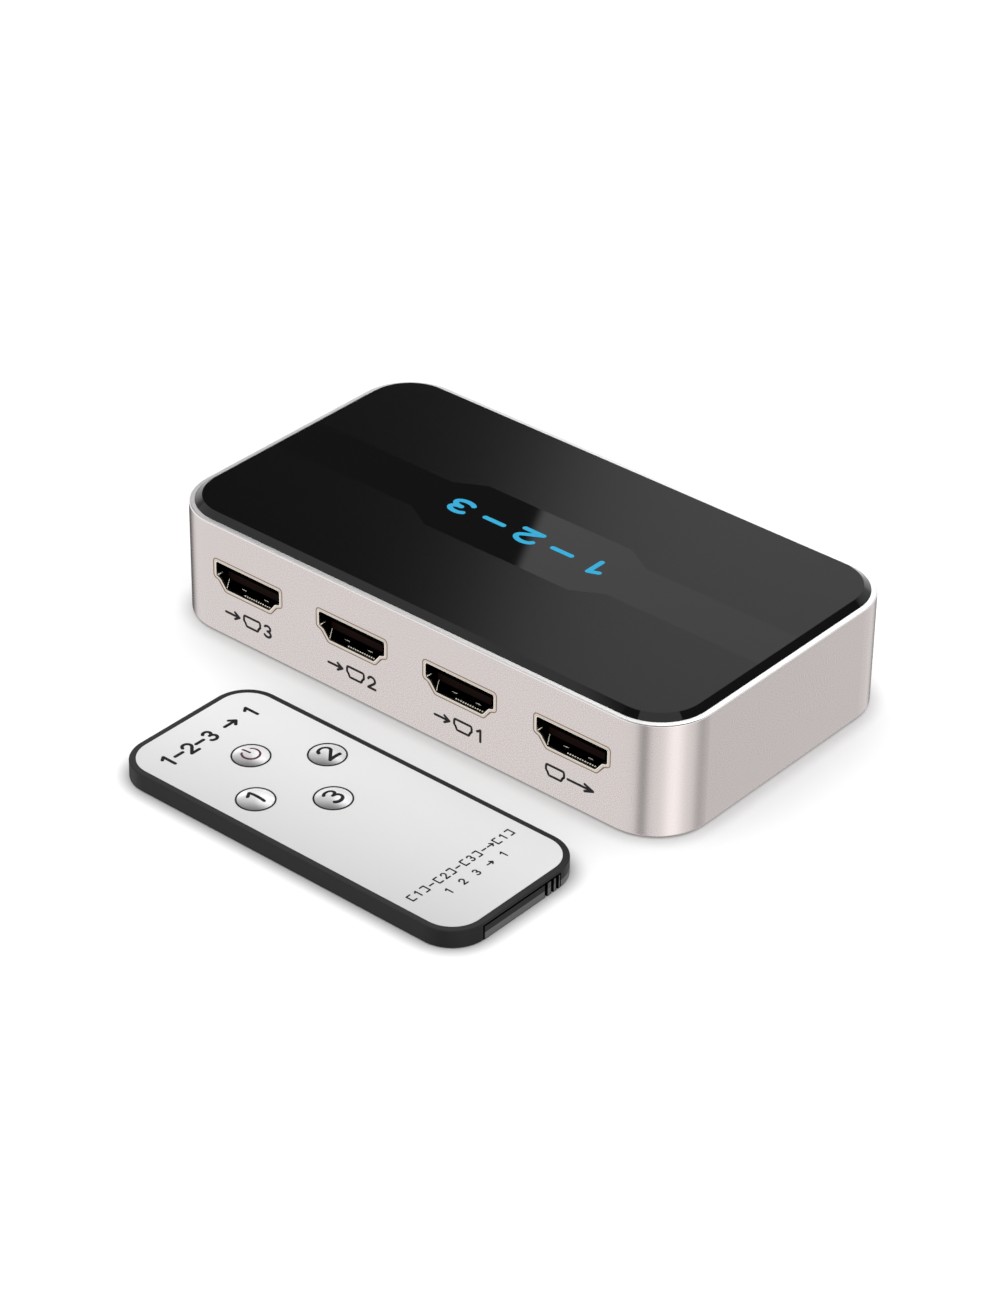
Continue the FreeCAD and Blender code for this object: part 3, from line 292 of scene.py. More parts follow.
def row(text, centre, height, advance, width=1.0):
    """Strokes of a row of glyphs, spread evenly about a centre."""
    strokes = []
    first = centre[0] - advance * (len(text) - 1) / 2
    for i, name in enumerate(text):
        if name != " ":
            strokes += glyph(name, (first + advance * i, centre[1]), height, width)
    return strokes


def unit(x, y):
    size = math.hypot(x, y) or 1.0
    return x / size, y / size


def cut_at_corners(stroke):
    """Split a stroke where it turns sharply, so that two round ends meet there."""
    pieces = [[stroke[0]]]
    for before, point, after in zip(stroke, stroke[1:], stroke[2:]):
        way_in = unit(point[0] - before[0], point[1] - before[1])
        way_out = unit(after[0] - point[0], after[1] - point[1])
        pieces[-1].append(point)
        if way_in[0] * way_out[0] + way_in[1] * way_out[1] < 0.6:
            pieces.append([point])
    pieces[-1].append(stroke[-1])
    return pieces


def split_long(points, longest):
    """Add points to a stroke's long sides, so that it can follow a curved surface."""
    finer = [points[0]]
    for (x0, y0), (x1, y1) in zip(points, points[1:]):
        parts = max(1, math.ceil(math.hypot(x1 - x0, y1 - y0) / longest))
        finer += [(x0 + (x1 - x0) * i / parts, y0 + (y1 - y0) * i / parts) for i in range(1, parts + 1)]
    return finer


# Surfaces to print on.

def flat_place(origin, along, up):
    """Turn a drawing's point and its height above the surface into a point of the part."""
    origin, along, up = Vector(origin), Vector(along), Vector(up)
    outward = along.cross(up)
    return lambda u, v, h: origin + along * u + up * v + outward * h


def back_wall(x, z):
    return flat_place((x, SWITCH_BACK, z), (-1, 0, 0), (0, 0, 1))


def dome_place(centre, along, up):
    """As flat_place, on the domed cap of a remote's button."""
    flat = flat_place((*centre, REMOTE_TOP + DOME_RISE), along, up)

    def place(u, v, h):
        fall = DOME_BALL - math.sqrt(DOME_BALL ** 2 - u * u - v * v)
        return flat(u, v, h - fall)
    return place


# Meshes.

def ribbon_rungs(points, width, closed=False, cap_steps=4):
    """Left and right edge of a stroke at each of its points, with round ends and mitred corners."""
    count = len(points)
    rungs = []
    for i, (x, y) in enumerate(points):
        before = points[i - 1] if i or closed else None
        after = points[(i + 1) % count] if i < count - 1 or closed else None
        ways = []
        if before:
            ways.append(unit(x - before[0], y - before[1]))
        if after:
            ways.append(unit(after[0] - x, after[1] - y))
        tangent = unit(sum(w[0] for w in ways), sum(w[1] for w in ways))
        lean = tangent[0] * ways[0][0] + tangent[1] * ways[0][1]
        half = width / 2 / max(lean, 0.4)
        aside = (-tangent[1] * half, tangent[0] * half)
        rungs.append(((x + aside[0], y + aside[1]), (x - aside[0], y - aside[1])))
    if closed:
        return rungs
    for end, inner, sign in ((0, 1, -1), (-1, -2, 1)):
        x, y = points[end]
        tangent = unit(x - points[inner][0], y - points[inner][1])
        for step in range(1, cap_steps + 1):
            turn = math.radians(88 * step / cap_steps)
            out, half = width / 2 * math.sin(turn), width / 2 * math.cos(turn)
            middle = (x + tangent[0] * out, y + tangent[1] * out)
            side = (-tangent[1] * half * sign, tangent[0] * half * sign)
            rung = ((middle[0] + side[0], middle[1] + side[1]), (middle[0] - side[0], middle[1] - side[1]))
            if sign > 0:
                rungs.append(rung)
            else:
                rungs.insert(0, rung)
    return rungs


def ribbons(strokes, width, place, thick=0.03, sunk=0.02, closed=False, longest=None):
    """Strokes of ink on a surface, as thin closed ribbons.

    Neighbours differ a little in height, so that no two tops lie in one plane where they cross.
    """
    if not closed:
        strokes = [piece for stroke in strokes for piece in cut_at_corners(stroke)]
    vertices, faces = [], []
    for index, stroke in enumerate(strokes):
        points = split_long(stroke, longest) if longest else stroke
        rungs = ribbon_rungs(points, width, closed)
        start = len(vertices)
        top = thick + 0.006 * (index % 3)
        for left, right in rungs:
            vertices += [place(*left, -sunk), place(*left, top), place(*right, top), place(*right, -sunk)]
        count = len(rungs)
        for i in range(count if closed else count - 1):
            a, b = start + 4 * i, start + 4 * ((i + 1) % count)
            faces += [(a + j, b + j, b + (j + 1) % 4, a + (j + 1) % 4) for j in range(4)]
        if not closed:
            last = start + 4 * (count - 1)
            faces += [(start, start + 1, start + 2, start + 3), (last + 3, last + 2, last + 1, last)]
    return vertices, faces


def tube(path, radius, closed=True, sides=8, across=(0, 1, 0)):
    """A round bead along points of the part. across is a direction that the path never follows."""
    path = [Vector(p) for p in path]
    count = len(path)
    vertices, faces = [], []
    for i, point in enumerate(path):
        before = path[i - 1] if i or closed else point
        after = path[(i + 1) % count] if i < count - 1 or closed else point
        tangent = (after - before).normalized()
        side = tangent.cross(Vector(across)).normalized()
        lift = side.cross(tangent)
        for j in range(sides):
            turn = TURN * j / sides
            vertices.append(point + side * radius * math.cos(turn) + lift * radius * math.sin(turn))
    for i in range(count if closed else count - 1):
        a, b = sides * i, sides * ((i + 1) % count)
        faces += [(a + j, a + (j + 1) % sides, b + (j + 1) % sides, b + j) for j in range(sides)]
    if not closed:
        last = sides * (count - 1)
        faces += [tuple(reversed(range(sides))), tuple(range(last, last + sides))]
    return vertices, faces


def block(low, high):
    """A box between two opposite corners."""
    corners = [(x, y, z) for x in (low[0], high[0]) for y in (low[1], high[1]) for z in (low[2], high[2])]
    return corners, [(0, 1, 3, 2), (4, 6, 7, 5), (0, 4, 5, 1), (2, 3, 7, 6), (0, 2, 6, 4), (1, 5, 7, 3)]


def merge(shapes):
    """Several pieces' points and faces as one."""
    vertices, faces = [], []
    for points, sides in shapes:
        start = len(vertices)
        vertices += points
        faces += [tuple(start + i for i in side) for side in sides]
    return vertices, faces


def new_object(name, vertices, faces, paint, body, slot=None):
    """Make a piece from points in millimetres, paint it and let it ride."""
    mesh = bpy.data.meshes.new(name)
    mesh.from_pydata([Vector(v) * MM for v in vertices], [], faces)
    mesh.validate()
    mesh.update()
    made = bpy.data.objects.new(name, mesh)
    bpy.context.scene.collection.objects.link(made)
    mesh.materials.append(paint.material)
    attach(made, body)
    return made


def smooth(thing):
    for face in thing.data.polygons:
        face.use_smooth = True


# Camera, floor and light.

def add_camera():
    azimuth, elevation, roll = (math.radians(a) for a in CAMERA_TURNS)
    level_out = math.cos(elevation)
    back = Vector((math.sin(azimuth) * level_out, -math.cos(azimuth) * level_out, math.sin(elevation)))
    level = Vector((math.cos(azimuth), math.sin(azimuth), 0))
    upright = back.cross(level)
    right = level * math.cos(roll) + upright * math.sin(roll)
    up = upright * math.cos(roll) - level * math.sin(roll)
    lens = bpy.data.cameras.new("camera")
    lens.sensor_width = CAMERA_SENSOR
    lens.lens = CAMERA_LENS
    lens.clip_start = 0.05
    made = bpy.data.objects.new("camera", lens)
    made.matrix_world = Matrix((right, up, back)).transposed().to_4x4()
    made.location = (Vector(CAMERA_TARGET) + back * CAMERA_DISTANCE) * MM
    bpy.context.scene.collection.objects.link(made)
    bpy.context.scene.camera = made


def direction(azimuth, elevation):
    """Unit vector, with the azimuth in degrees from +y towards +x."""
    a, e = math.radians(azimuth), math.radians(elevation)
    return Vector((math.sin(a) * math.cos(e), math.cos(a) * math.cos(e), math.sin(e)))


class Studio(Nodes):
    """What the part's glossy surfaces see all round: soft cards in an otherwise plain room.

    Azimuths, elevations, widths and softness are in degrees.
    """

    def __init__(self):
        world = bpy.data.worlds.new("studio")
        bpy.context.scene.world = world
        world.use_nodes = True
        super().__init__(world.node_tree)
        self.tree.nodes.clear()
        self.way = self.node("ShaderNodeTexCoord", "Generated")
        part = self.tree.nodes.new("ShaderNodeSeparateXYZ")
        self.tree.links.new(self.way, part.inputs[0])
        x, y, height = part.outputs
        self.azimuth = self.math("MULTIPLY", self.math("ARCTAN2", x, y), 360 / TURN)
        self.elevation = self.math("MULTIPLY", self.math("ARCSINE", height), 360 / TURN)
        self.light = 1.0

    def step(self, value, edge, soft, rising=True):
        """Zero on one side of an edge and one on the other, over twice the softness."""
        ends = (0.0, 1.0) if rising else (1.0, 0.0)
        settings = {"interpolation_type": "SMOOTHSTEP"}
        return self.node("ShaderNodeMapRange", 0, settings=settings, Value=value, n1=edge - soft,
                         n2=edge + soft, n3=ends[0], n4=ends[1])

    def along(self, axis):
        """Cosine of the angle to a direction."""
        return self.node("ShaderNodeVectorMath", "Value", "DOT_PRODUCT", n0=self.way, n1=axis)

    def beyond(self, normal, soft):
        """One on the side of a plane that its normal points to. Its softness is a cosine."""
        return self.step(self.along(normal), 0.0, soft)

    def near(self, axis, radius, soft):
        """One within an angle of a direction."""
        angle = self.math("MULTIPLY", self.math("ARCCOSINE", self.along(axis)), 360 / TURN)
        return self.step(angle, radius, soft, rising=False)

    def band(self, azimuth, half, soft):
        """One within half a width of an azimuth."""
        turned = self.math("WRAP", self.math("SUBTRACT", self.azimuth, azimuth), 180.0, -180.0)
        return self.step(self.math("ABSOLUTE", turned), half, soft, rising=False)

    def between(self, low, high, soft):
        """One between two elevations."""
        return self.all_of(self.step(self.elevation, low, soft),
                           self.step(self.elevation, high, soft, rising=False))

    def add(self, level, *masks):
        """Lay a card of one brightness over what is there, where all its masks are one."""
        share = self.all_of(*masks)
        change = self.math("SUBTRACT", level, self.light)
        self.light = self.math("MULTIPLY_ADD", change, share, self.light)

    def finish(self, fill):
        """White where it is seen, the cards for reflections, an even fill for the rest."""
        glossy = self.light_path()["Is Glossy Ray"]
        strength = self.math("MULTIPLY_ADD", glossy, self.math("SUBTRACT", self.light, fill), fill)
        strength = self.math("MAXIMUM", strength, self.seen())
        light = self.node("ShaderNodeBackground", 0, Color=(1, 1, 1, 1), Strength=strength)
        out = self.tree.nodes.new("ShaderNodeOutputWorld")
        self.tree.links.new(light, out.inputs["Surface"])


def add_world():
    room = Studio()
    # The room is dim from a little above the horizon upwards.
    room.add(0.06, room.step(room.elevation, 16, 9))
    # Cards to the sides, for the remote and for the round edge below the rim.
    room.add(0.8, room.band(-135, 45, 10), room.between(4, 30, 5))
    room.add(1.2, room.band(-50, 30, 8), room.between(-5, 23, 2.5))
    # Cards high up, for the black panel, its bevel and the rim round it. The first ends on a straight
    # line, which shows as a sharp border across the panel's mirror band.
    border = direction(-39.44, 30.8).cross(direction(-39.82, 31.62)).normalized()
    room.add(1.2, room.beyond(border, 0.0015), room.band(-20, 32, 8), room.between(8, 38, 4))
    room.add(0.6, room.band(-45, 25, 8), room.between(37.5, 60, 2))
    room.add(3.2, room.band(-8, 32, 5), room.between(41.5, 60, 3))
    room.add(1.2, room.band(50, 13, 4), room.between(4, 32, 2))
    room.add(0.75, room.band(-86, 25, 4), room.between(51.5, 66, 1))
    room.add(0.55, room.band(8, 16, 3), room.between(8, 38, 4))
    room.add(0.7, room.band(-123, 35, 5), room.between(24, 50.35, 0.4))
    room.add(0.78, room.near(direction(73, 88.1), 27.9, 0.4))
    # Cards low down, for the metal walls and their round corners.
    low = room.step(room.elevation, 4, 8, rising=False)
    room.add(0.84, room.band(40, 30, 10), low)
    room.add(0.3, room.band(165, 8, 5), low)
    room.add(1.5, room.band(109, 14, 12), low)
    room.add(0.5, room.band(55, 10, 7), low)
    room.add(0.04, room.band(-46, 38, 14), room.between(-47, -20, 4))
    room.finish(FILL)


def add_floor():
    """A wide white floor with its own glow for the camera. Reflections see the room's lower half instead.

    Its colour is darker close under the part's edges, more so along the remote: a painted contact shadow.
    It is 8 metres wide.
    """
    half = 4.0
    corners = [(-half, -half, 0), (half, -half, 0), (half, half, 0), (-half, half, 0)]
    mesh = bpy.data.meshes.new("floor")
    mesh.from_pydata(corners, [], [(0, 1, 2, 3)])
    floor = bpy.data.objects.new("floor", mesh)
    bpy.context.scene.collection.objects.link(floor)
    floor.visible_glossy = False
    paint = Paint("floor_white", Roughness=0.9, Specular_IOR_Level=0.0)
    # Painted shadow: the floor's colour turns grey where the part is near.
    openness = paint.node("ShaderNodeAmbientOcclusion", "AO", Distance=3 * MM)
    by_remote = paint.below(paint.axis("Y"), (SWITCH_FRONT + REMOTE_BACK) / 2)
    shadow = paint.blend(by_remote, (0.48, 0.48, 0.48), (0.18, 0.18, 0.18))
    paint.feed("Base Color", paint.blend(openness, shadow, (0.97, 0.97, 0.97)))
    paint.shader.inputs["Emission Color"].default_value = (1, 1, 1, 1)
    paint.feed("Emission Strength", paint.math("MULTIPLY", paint.seen(), FLOOR_GLOW))
    mesh.materials.append(paint.material)


def add_lamp():
    """A weak soft box above the part, aimed at its middle. Its places and its side are in metres."""
    spot = Vector((0.0, 0.1, 1.1))
    target = Vector((0.0, 0.02, 0.01))
    side = 1.0
    light = bpy.data.lights.new("top_box", "AREA")
    light.shape = "RECTANGLE"
    light.size = side
    light.size_y = side
    light.energy = SOFT_BOX * math.pi * side * side
    made = bpy.data.objects.new("top_box", light)
    made.location = spot
    made.visible_glossy = False
    made.rotation_euler = (spot - target).to_track_quat("Z", "Y").to_euler()
    bpy.context.scene.collection.objects.link(made)


# Finishes of the solids.

def aluminium():
    """Satin metal with a brighter cut edge round the panel."""
    paint = surface("satin_aluminium", (0.66, 0.602, 0.588), 0.27, 1.0, patch=14, tint=0.012, uneven=0.015,
                    grain=0.16, depth=0.0005)
    rim = paint.inside(paint.axis("Z"), RIM_LOW, PANEL_TOP)
    paint.feed("Base Color", paint.blend(rim, paint.fed("Base Color"), (0.96, 0.94, 0.935)))
    paint.feed("Roughness", paint.math("ADD", paint.fed("Roughness"), paint.math("MULTIPLY", rim, 0.02)))
    return paint


def black_panel():
    """Polished black plastic: a mirror band along the middle, a satin print on both sides of it."""
    paint = Paint("panel_black", IOR=1.5)
    x = paint.math("ABSOLUTE", paint.axis("X"))
    y = paint.math("ABSOLUTE", paint.math("SUBTRACT", paint.axis("Y"), SWITCH_Y))
    half = paint.spread(x, BAND_HALF_WIDE, BAND_HALF_NARROW, *BAND_TAPER)
    band = paint.spread(paint.math("SUBTRACT", half, y), 0.0, 1.0, -0.06, 0.06)
    bevel = paint.below(paint.axis("Z"), PANEL_TOP - 0.01)
    mirror = paint.math("MAXIMUM", band, bevel)
    paint.feed("Specular IOR Level", paint.spread(bevel, 0.22, 0.5, 0.0, 1.0))
    paint.feed("Base Color", paint.blend(mirror, (0.0005, 0.0005, 0.0007), (0.0032, 0.0032, 0.0034)))
    satin = paint.spread(paint.noise(0.18, 2.0), 0.12, 0.16)
    polish = paint.math("MULTIPLY", paint.math("SUBTRACT", 0.02, satin), mirror)
    paint.feed("Roughness", paint.math("ADD", polish, satin))
    return paint


def gilt_shell():
    """Gilt at the mouth of a socket, then painted shade further in. The gilt reaches deepest at the
    right-hand side, as a painted glint on the shelf there.
    """
    paint = Paint("gilt_shell", Metallic=1.0)
    inward = paint.math("SUBTRACT", paint.axis("Y"), SWITCH_FRONT)
    half_pitch = (SOCKET_X["in_1"] - SOCKET_X["in_2"]) / 2
    from_middle = paint.math("SUBTRACT", paint.axis("X"), SOCKET_X["in_1"])
    across = paint.math("WRAP", from_middle, half_pitch, -half_pitch)
    # Painted glint: on the right-hand shelf the gilt reaches further in.
    reach = paint.math("ADD", paint.math("MULTIPLY", paint.above(across, 6.0), 0.4), 0.22)
    # Painted shade: past that reach the shell turns near black.
    deep = paint.spread(paint.math("SUBTRACT", inward, reach), 0.0, 1.0, 0.0, 0.15)
    fine = paint.noise(0.2, 2.0)
    paint.feed("Base Color", paint.blend(deep, (0.64, 0.573, 0.528), (0.02, 0.009, 0.005)))
    paint.feed("Roughness", paint.spread(fine, 0.24, 0.34))
    paint.bump(fine, 0.001)
    return paint


def remote_black(name):
    """Moulded case and tray, with a painted highlight on the top edge, painted light on the tray's lower
    front and on the latch's ribs, and painted shade in the gap and grooves round the tray.
    """
    paint = surface(name, (0.0125, 0.0125, 0.013), 0.42, grain=0.3, depth=0.004, Specular_IOR_Level=0.1)
    x, y, z = (paint.axis(axis) for axis in "XYZ")
    across = paint.math("SUBTRACT", y, REMOTE_SPOT[1])

    # Painted highlight: the case is made lighter along its top edge.
    painted_edge_highlight = paint.spread(z, 0.0, 1.0, REMOTE_TOP - 0.25, REMOTE_TOP - 0.05)
    paint.tone(painted_edge_highlight, 2.0)

    # Painted light: the tray's lower front is made lighter, as if lit from the floor.
    foot = paint.all_of(paint.inside(across, -TRAY_HALF, 12.5, 0.4), paint.inside(z, 0.12, TRAY_STEP),
                        paint.above(x, REMOTE_END - 3.0))
    paint.tone(foot, 8.0)

    end_face = paint.above(x, REMOTE_END - 0.03)
    # Painted glints: the latch's rib faces at the end are made lighter.
    painted_rib_glints = paint.all_of(paint.inside(across, LATCH_EDGE, TRAY_HALF), paint.above(z, TRAY_STEP),
                              end_face, paint.below(z, TRAY_TOP))
    paint.tone(painted_rib_glints, 5.0)

    # Painted shade: the gap round the tray, the grooves beside the latch and the faces next to them turn
    # near black and lose their sheen.
    mouth = paint.all_of(paint.inside(across, -TRAY_HALF - 0.3, TRAY_HALF + 0.25),
                         paint.below(z, TRAY_TOP + 0.18))
    field = paint.all_of(paint.inside(across, -TRAY_HALF + 0.08, TRAY_HALF),
                         paint.below(z, TRAY_TOP - 0.18))
    groove = paint.math("SUBTRACT", mouth, paint.all_of(field, end_face))
    for bar in LATCH_SHADE_BARS:
        painted_shade_bar = paint.inside(across, bar - LATCH_SHADE_BAR_HALF, bar + LATCH_SHADE_BAR_HALF)
        groove = paint.math("MAXIMUM", groove, paint.all_of(painted_shade_bar, field))
    groove = paint.all_of(groove, paint.above(x, REMOTE_END - 0.8))
    paint.tone(groove, 0.03)
    paint.feed("Specular IOR Level", paint.spread(groove, 0.1, 0.0, 0.0, 1.0))
    return paint


def cap_film():
    """Glossy silver print on the four caps, with painted shade from white to grey across each, so that each
    looks lit like a dome.
    """
    paint = surface("cap_silver", (0.9, 0.9, 0.91), 0.24, 0.25, patch=5, tint=0.01, uneven=0.02, grain=0.6,
                    depth=0.0002)
    half_x = (BUTTON_SPOTS["3"][0] - BUTTON_SPOTS["1"][0]) / 2
    half_y = BUTTON_SPOTS["2"][1] / 2
    x = paint.math("SUBTRACT", paint.axis("X"), REMOTE_SPOT[0] + BUTTON_SPOTS["1"][0])
    y = paint.math("SUBTRACT", paint.axis("Y"), REMOTE_SPOT[1])
    x = paint.math("WRAP", x, half_x, -half_x)
    y = paint.math("WRAP", y, half_y, -half_y)
    # Painted shade: each cap is greyer towards +x and -y.
    towards = paint.math("SUBTRACT", paint.math("MULTIPLY", x, 0.5), paint.math("MULTIPLY", y, 0.86))
    paint.tone(paint.spread(towards, 0.0, 1.0, -0.5, 2.6), 0.2)
    return paint


def plate_film():
    """Silver film on the remote, with painted light: a little lighter towards its title and towards the
    switch.
    """
    paint = surface("plate_film", (0.51, 0.51, 0.51), 0.38, patch=18, tint=0.015, grain=0.3, depth=0.001)
    x, y = REMOTE_SPOT
    # Painted light: lighter towards the title end and towards the switch.
    paint.tone(paint.spread(paint.axis("X"), 0.0, 1.0, x + 34, x - 34), 1.16)
    paint.tone(paint.spread(paint.axis("Y"), 0.0, 1.0, y - 14, y + 14), 1.42)
    return paint


def finishes():
    """One finish for each material slot of the record."""
    return {
        "aluminium_shell": aluminium(),
        "black_gloss": black_panel(),
        "tape": surface("foam_tape", (0.05, 0.05, 0.05), 0.9, grain=0.3, depth=0.02),
        "black_plastic": surface("spark_black", (0.03, 0.03, 0.031), 0.55, grain=0.35, depth=0.012),
        "button_black": surface("button_black", (0.025, 0.025, 0.026), 0.28, grain=0.3, depth=0.002),
        "rubber": surface("foot_rubber", (0.035, 0.035, 0.036), 0.8, grain=0.4, depth=0.012, uneven=0.08),
        "steel": surface("plated_steel", (0.58, 0.58, 0.59), 0.3, 1.0, grain=0.2, depth=0.002),
        "board_green": surface("solder_mask", (0.015, 0.14, 0.06), 0.35, patch=3, tint=0.25, grain=0.5,
                               depth=0.01),
        "gold_shell": gilt_shell(),
        "gold": surface("gold_plate", (0.86, 0.66, 0.34), 0.25, 1.0, grain=0.15, depth=0.001),
        "insulator_black": surface("nylon_black", (0.0068, 0.0022, 0.0016), 0.6, grain=0.2, depth=0.004,
                                   Specular_IOR_Level=0.04),
        "chip_black": surface("moulded_epoxy", (0.03, 0.03, 0.034), 0.5, grain=0.12, depth=0.003),
        "crystal_can": surface("drawn_can", (0.66, 0.66, 0.66), 0.25, 1.0, grain=0.3, depth=0.002),
        "capacitor_can": surface("capacitor_can", (0.72, 0.72, 0.73), 0.22, 1.0, grain=0.3, depth=0.002),
        "clear_plastic": surface("clear_acrylic", (0.92, 0.94, 0.94), 0.08, tint=0.01, uneven=0.02,
                                 grain=3.0, depth=0.0004, Transmission_Weight=0.85, IOR=1.49),
        "lamp_white": surface("lamp_package", (0.86, 0.86, 0.8), 0.4, grain=0.2, depth=0.002),
        "smoked_window": surface("smoked_plastic", (0.03, 0.006, 0.008), 0.08, uneven=0.02, grain=2.0,
                                 depth=0.001, Coat_Weight=0.5, Coat_Roughness=0.03),
        "jack_black": surface("jack_plastic", (0.02, 0.02, 0.021), 0.45, grain=0.3, depth=0.006),
        "case_grey": remote_black("remote_case_black"),
        "tray_grey": remote_black("remote_tray_black"),
        "plate_silver": plate_film(),
        "cap_silver": cap_film(),
        "cell_steel": surface("cell_steel", (0.7, 0.7, 0.71), 0.25, 1.0, grain=0.8, depth=0.0004,
                              stretch=(6, 1, 1)),
    }


def paint_solids():
    table = finishes()
    for part in frame["record"]["subparts"]:
        mesh = frame["nodes"][part["node"]].data
        mesh.materials.clear()
        mesh.materials.append(table[part["material_slot"]].material)


# What shows in the sockets' mouths.

def socket_outline(grow=0.0, corner=SOCKET_CORNER, steps=6):
    """Points round a socket's opening in its own plane, wide side up, with round corners."""
    side, top = SOCKET_HALF_WIDTH + grow, SOCKET_HALF_HEIGHT + grow
    shelf = SOCKET_HALF_HEIGHT - SOCKET_SIDE
    right = [(side, top), (side, shelf - grow * 0.7),
             (side - SOCKET_SHELF, shelf - SOCKET_SHELF_FALL - grow * 0.6),
             (SOCKET_FLOOR_HALF + grow * 0.5, -top)]
    corners = right + [(-x, y) for x, y in reversed(right)]
    outline = []
    for i, (x, y) in enumerate(corners):
        back = unit(corners[i - 1][0] - x, corners[i - 1][1] - y)
        onward = corners[(i + 1) % len(corners)]
        ahead = unit(onward[0] - x, onward[1] - y)
        opening = math.acos(max(-1, min(1, back[0] * ahead[0] + back[1] * ahead[1])))
        reach = corner / math.tan(opening / 2)
        inward = unit(back[0] + ahead[0], back[1] + ahead[1])
        deep = corner / math.sin(opening / 2)
        middle = (x + inward[0] * deep, y + inward[1] * deep)
        start = (x + back[0] * reach - middle[0], y + back[1] * reach - middle[1])
        end = (x + ahead[0] * reach - middle[0], y + ahead[1] * reach - middle[1])
        first = math.atan2(start[1], start[0])
        sweep = (math.atan2(end[1], end[0]) - first + math.pi) % TURN - math.pi
        turns = [first + sweep * k / steps for k in range(steps + 1)]
        outline += [(middle[0] + corner * math.cos(t), middle[1] + corner * math.sin(t)) for t in turns]
    return outline


def floor_tip(x, middle):
    """Free end of one of the two spring fingers in a socket's floor, in bright cream as a painted glint."""
    y, z = SWITCH_FRONT + 1.7, SOCKET_FLOOR + 0.1
    path = [(x + middle + u, y, z) for u in (-0.5, 0, 0.5)]
    return tube(path, 0.045, closed=False, across=(0, 0, 1))


def slope_light_line(x):
    """A painted light line along the slope beside a socket's floor."""
    run = [(-4.85, 0.2, -2.15), (-5.02, 0.5, -1.9), (-5.25, 0.95, -1.6), (-5.5, 1.45, -1.28),
           (-5.74, 2.0, -0.95)]
    path = [(x + u, SWITCH_FRONT + s, SOCKET_Z + v) for u, s, v in run]
    return tube(path, 0.06, closed=False, across=(0.79, 0, 0.61))


def shelf_glint(x):
    """A painted glint along the crease between a socket's left wall and its shelf."""
    run = [(-6.82, 0.2, -0.3), (-6.78, 0.8, -0.28), (-6.8, 1.3, -0.3)]
    path = [(x + u, SWITCH_FRONT + s, SOCKET_Z + v) for u, s, v in run]
    return tube(path, 0.09, closed=False, across=(1, 0, 0))


def contact_studs(x):
    """Row of small studs along the floor of a socket's mouth, in a bright cream that stands in for their
    glints.
    """
    studs = []
    for i in range(STUDS):
        middle = x + STUD_FIRST + i * STUD_PITCH
        low = (middle - STUD_HALF, SWITCH_FRONT + STUD_DEPTHS[0], SOCKET_FLOOR - STUD_SINK)
        high = (middle + STUD_HALF, SWITCH_FRONT + STUD_DEPTHS[1], SOCKET_FLOOR + STUD_RISE)
        studs.append(block(low, high))
    return merge(studs)


def add_sockets():
    """Polished bead and a line of painted shade round each socket's mouth, and painted glints inside it."""
    polished = surface("polished_gilt", (1.0, 0.925, 0.81), 0.18, 1.0, grain=0.2, depth=0.0005)
    # Bright matt cream for painted glints: spring ends, a light line on the slope, a crease and the studs.
    glint_cream_paint = surface("painted_glint_cream", (1.0, 0.94, 0.78), 0.4, 0.0, grain=0.2, depth=0.0005)
    # Brownish near black, for the painted shade in the gap round each shell.
    brown = surface("painted_gap_shade", (0.2, 0.108, 0.048), 0.6, grain=0.2, depth=0.001)
    for name, x in SOCKET_X.items():
        bead_line = socket_outline(BEAD_GROW)
        bead = tube([(x + u, SWITCH_FRONT + 0.02, SOCKET_Z + v) for u, v in bead_line], BEAD_RADIUS)
        smooth(new_object(f"socket_bead_{name}", *bead, polished, "switch", "gold_shell"))
        seam_line = socket_outline(GAP_SHADE_GROW, GAP_SHADE_CORNER)
        seam = tube([(x + u, SWITCH_FRONT + 0.01, SOCKET_Z + v) for u, v in seam_line], GAP_SHADE_RADIUS)
        smooth(new_object(f"socket_gap_shade_{name}", *seam, brown, "switch", "black_plastic"))
        # Painted glints: two spring ends on the floor, a light line on the slope and a glint at the left
        # shelf.
        springs = merge([floor_tip(x, -2.4), floor_tip(x, 2.5), slope_light_line(x), shelf_glint(x)])
        smooth(new_object(f"socket_glints_{name}", *springs, glint_cream_paint, "switch", "gold_shell"))
        new_object(f"socket_studs_{name}", *contact_studs(x), glint_cream_paint, "switch", "gold")


# What is printed on the part.

def ink(name, colour, rough=0.45):
    return surface(name, colour, rough, patch=1.5, tint=0.06, grain=0.12, depth=0.0005,
                   Specular_IOR_Level=0.08)


def add_panel_numerals(blue):
    """Three numerals on the panel, upright for someone behind the switch."""
    panel = flat_place((0, SWITCH_Y + 0.1, PANEL_TOP), (-1, 0, 0), (0, -1, 0))
    numerals = ribbons(row("1-2-3", (0, 0), height=3.5, advance=7.1, width=1.7), 0.95, panel, thick=0.02)
    new_object("panel_numerals", *numerals, blue, "switch")


def socket_mark(centre, width, height):
    """Small drawing of a socket's opening, as one closed stroke."""
    across, up = width / 2 / SOCKET_HALF_WIDTH, height / 2 / SOCKET_HALF_HEIGHT
    return [(centre[0] + u * across, centre[1] + v * up) for u, v in socket_outline(corner=1.0, steps=3)]


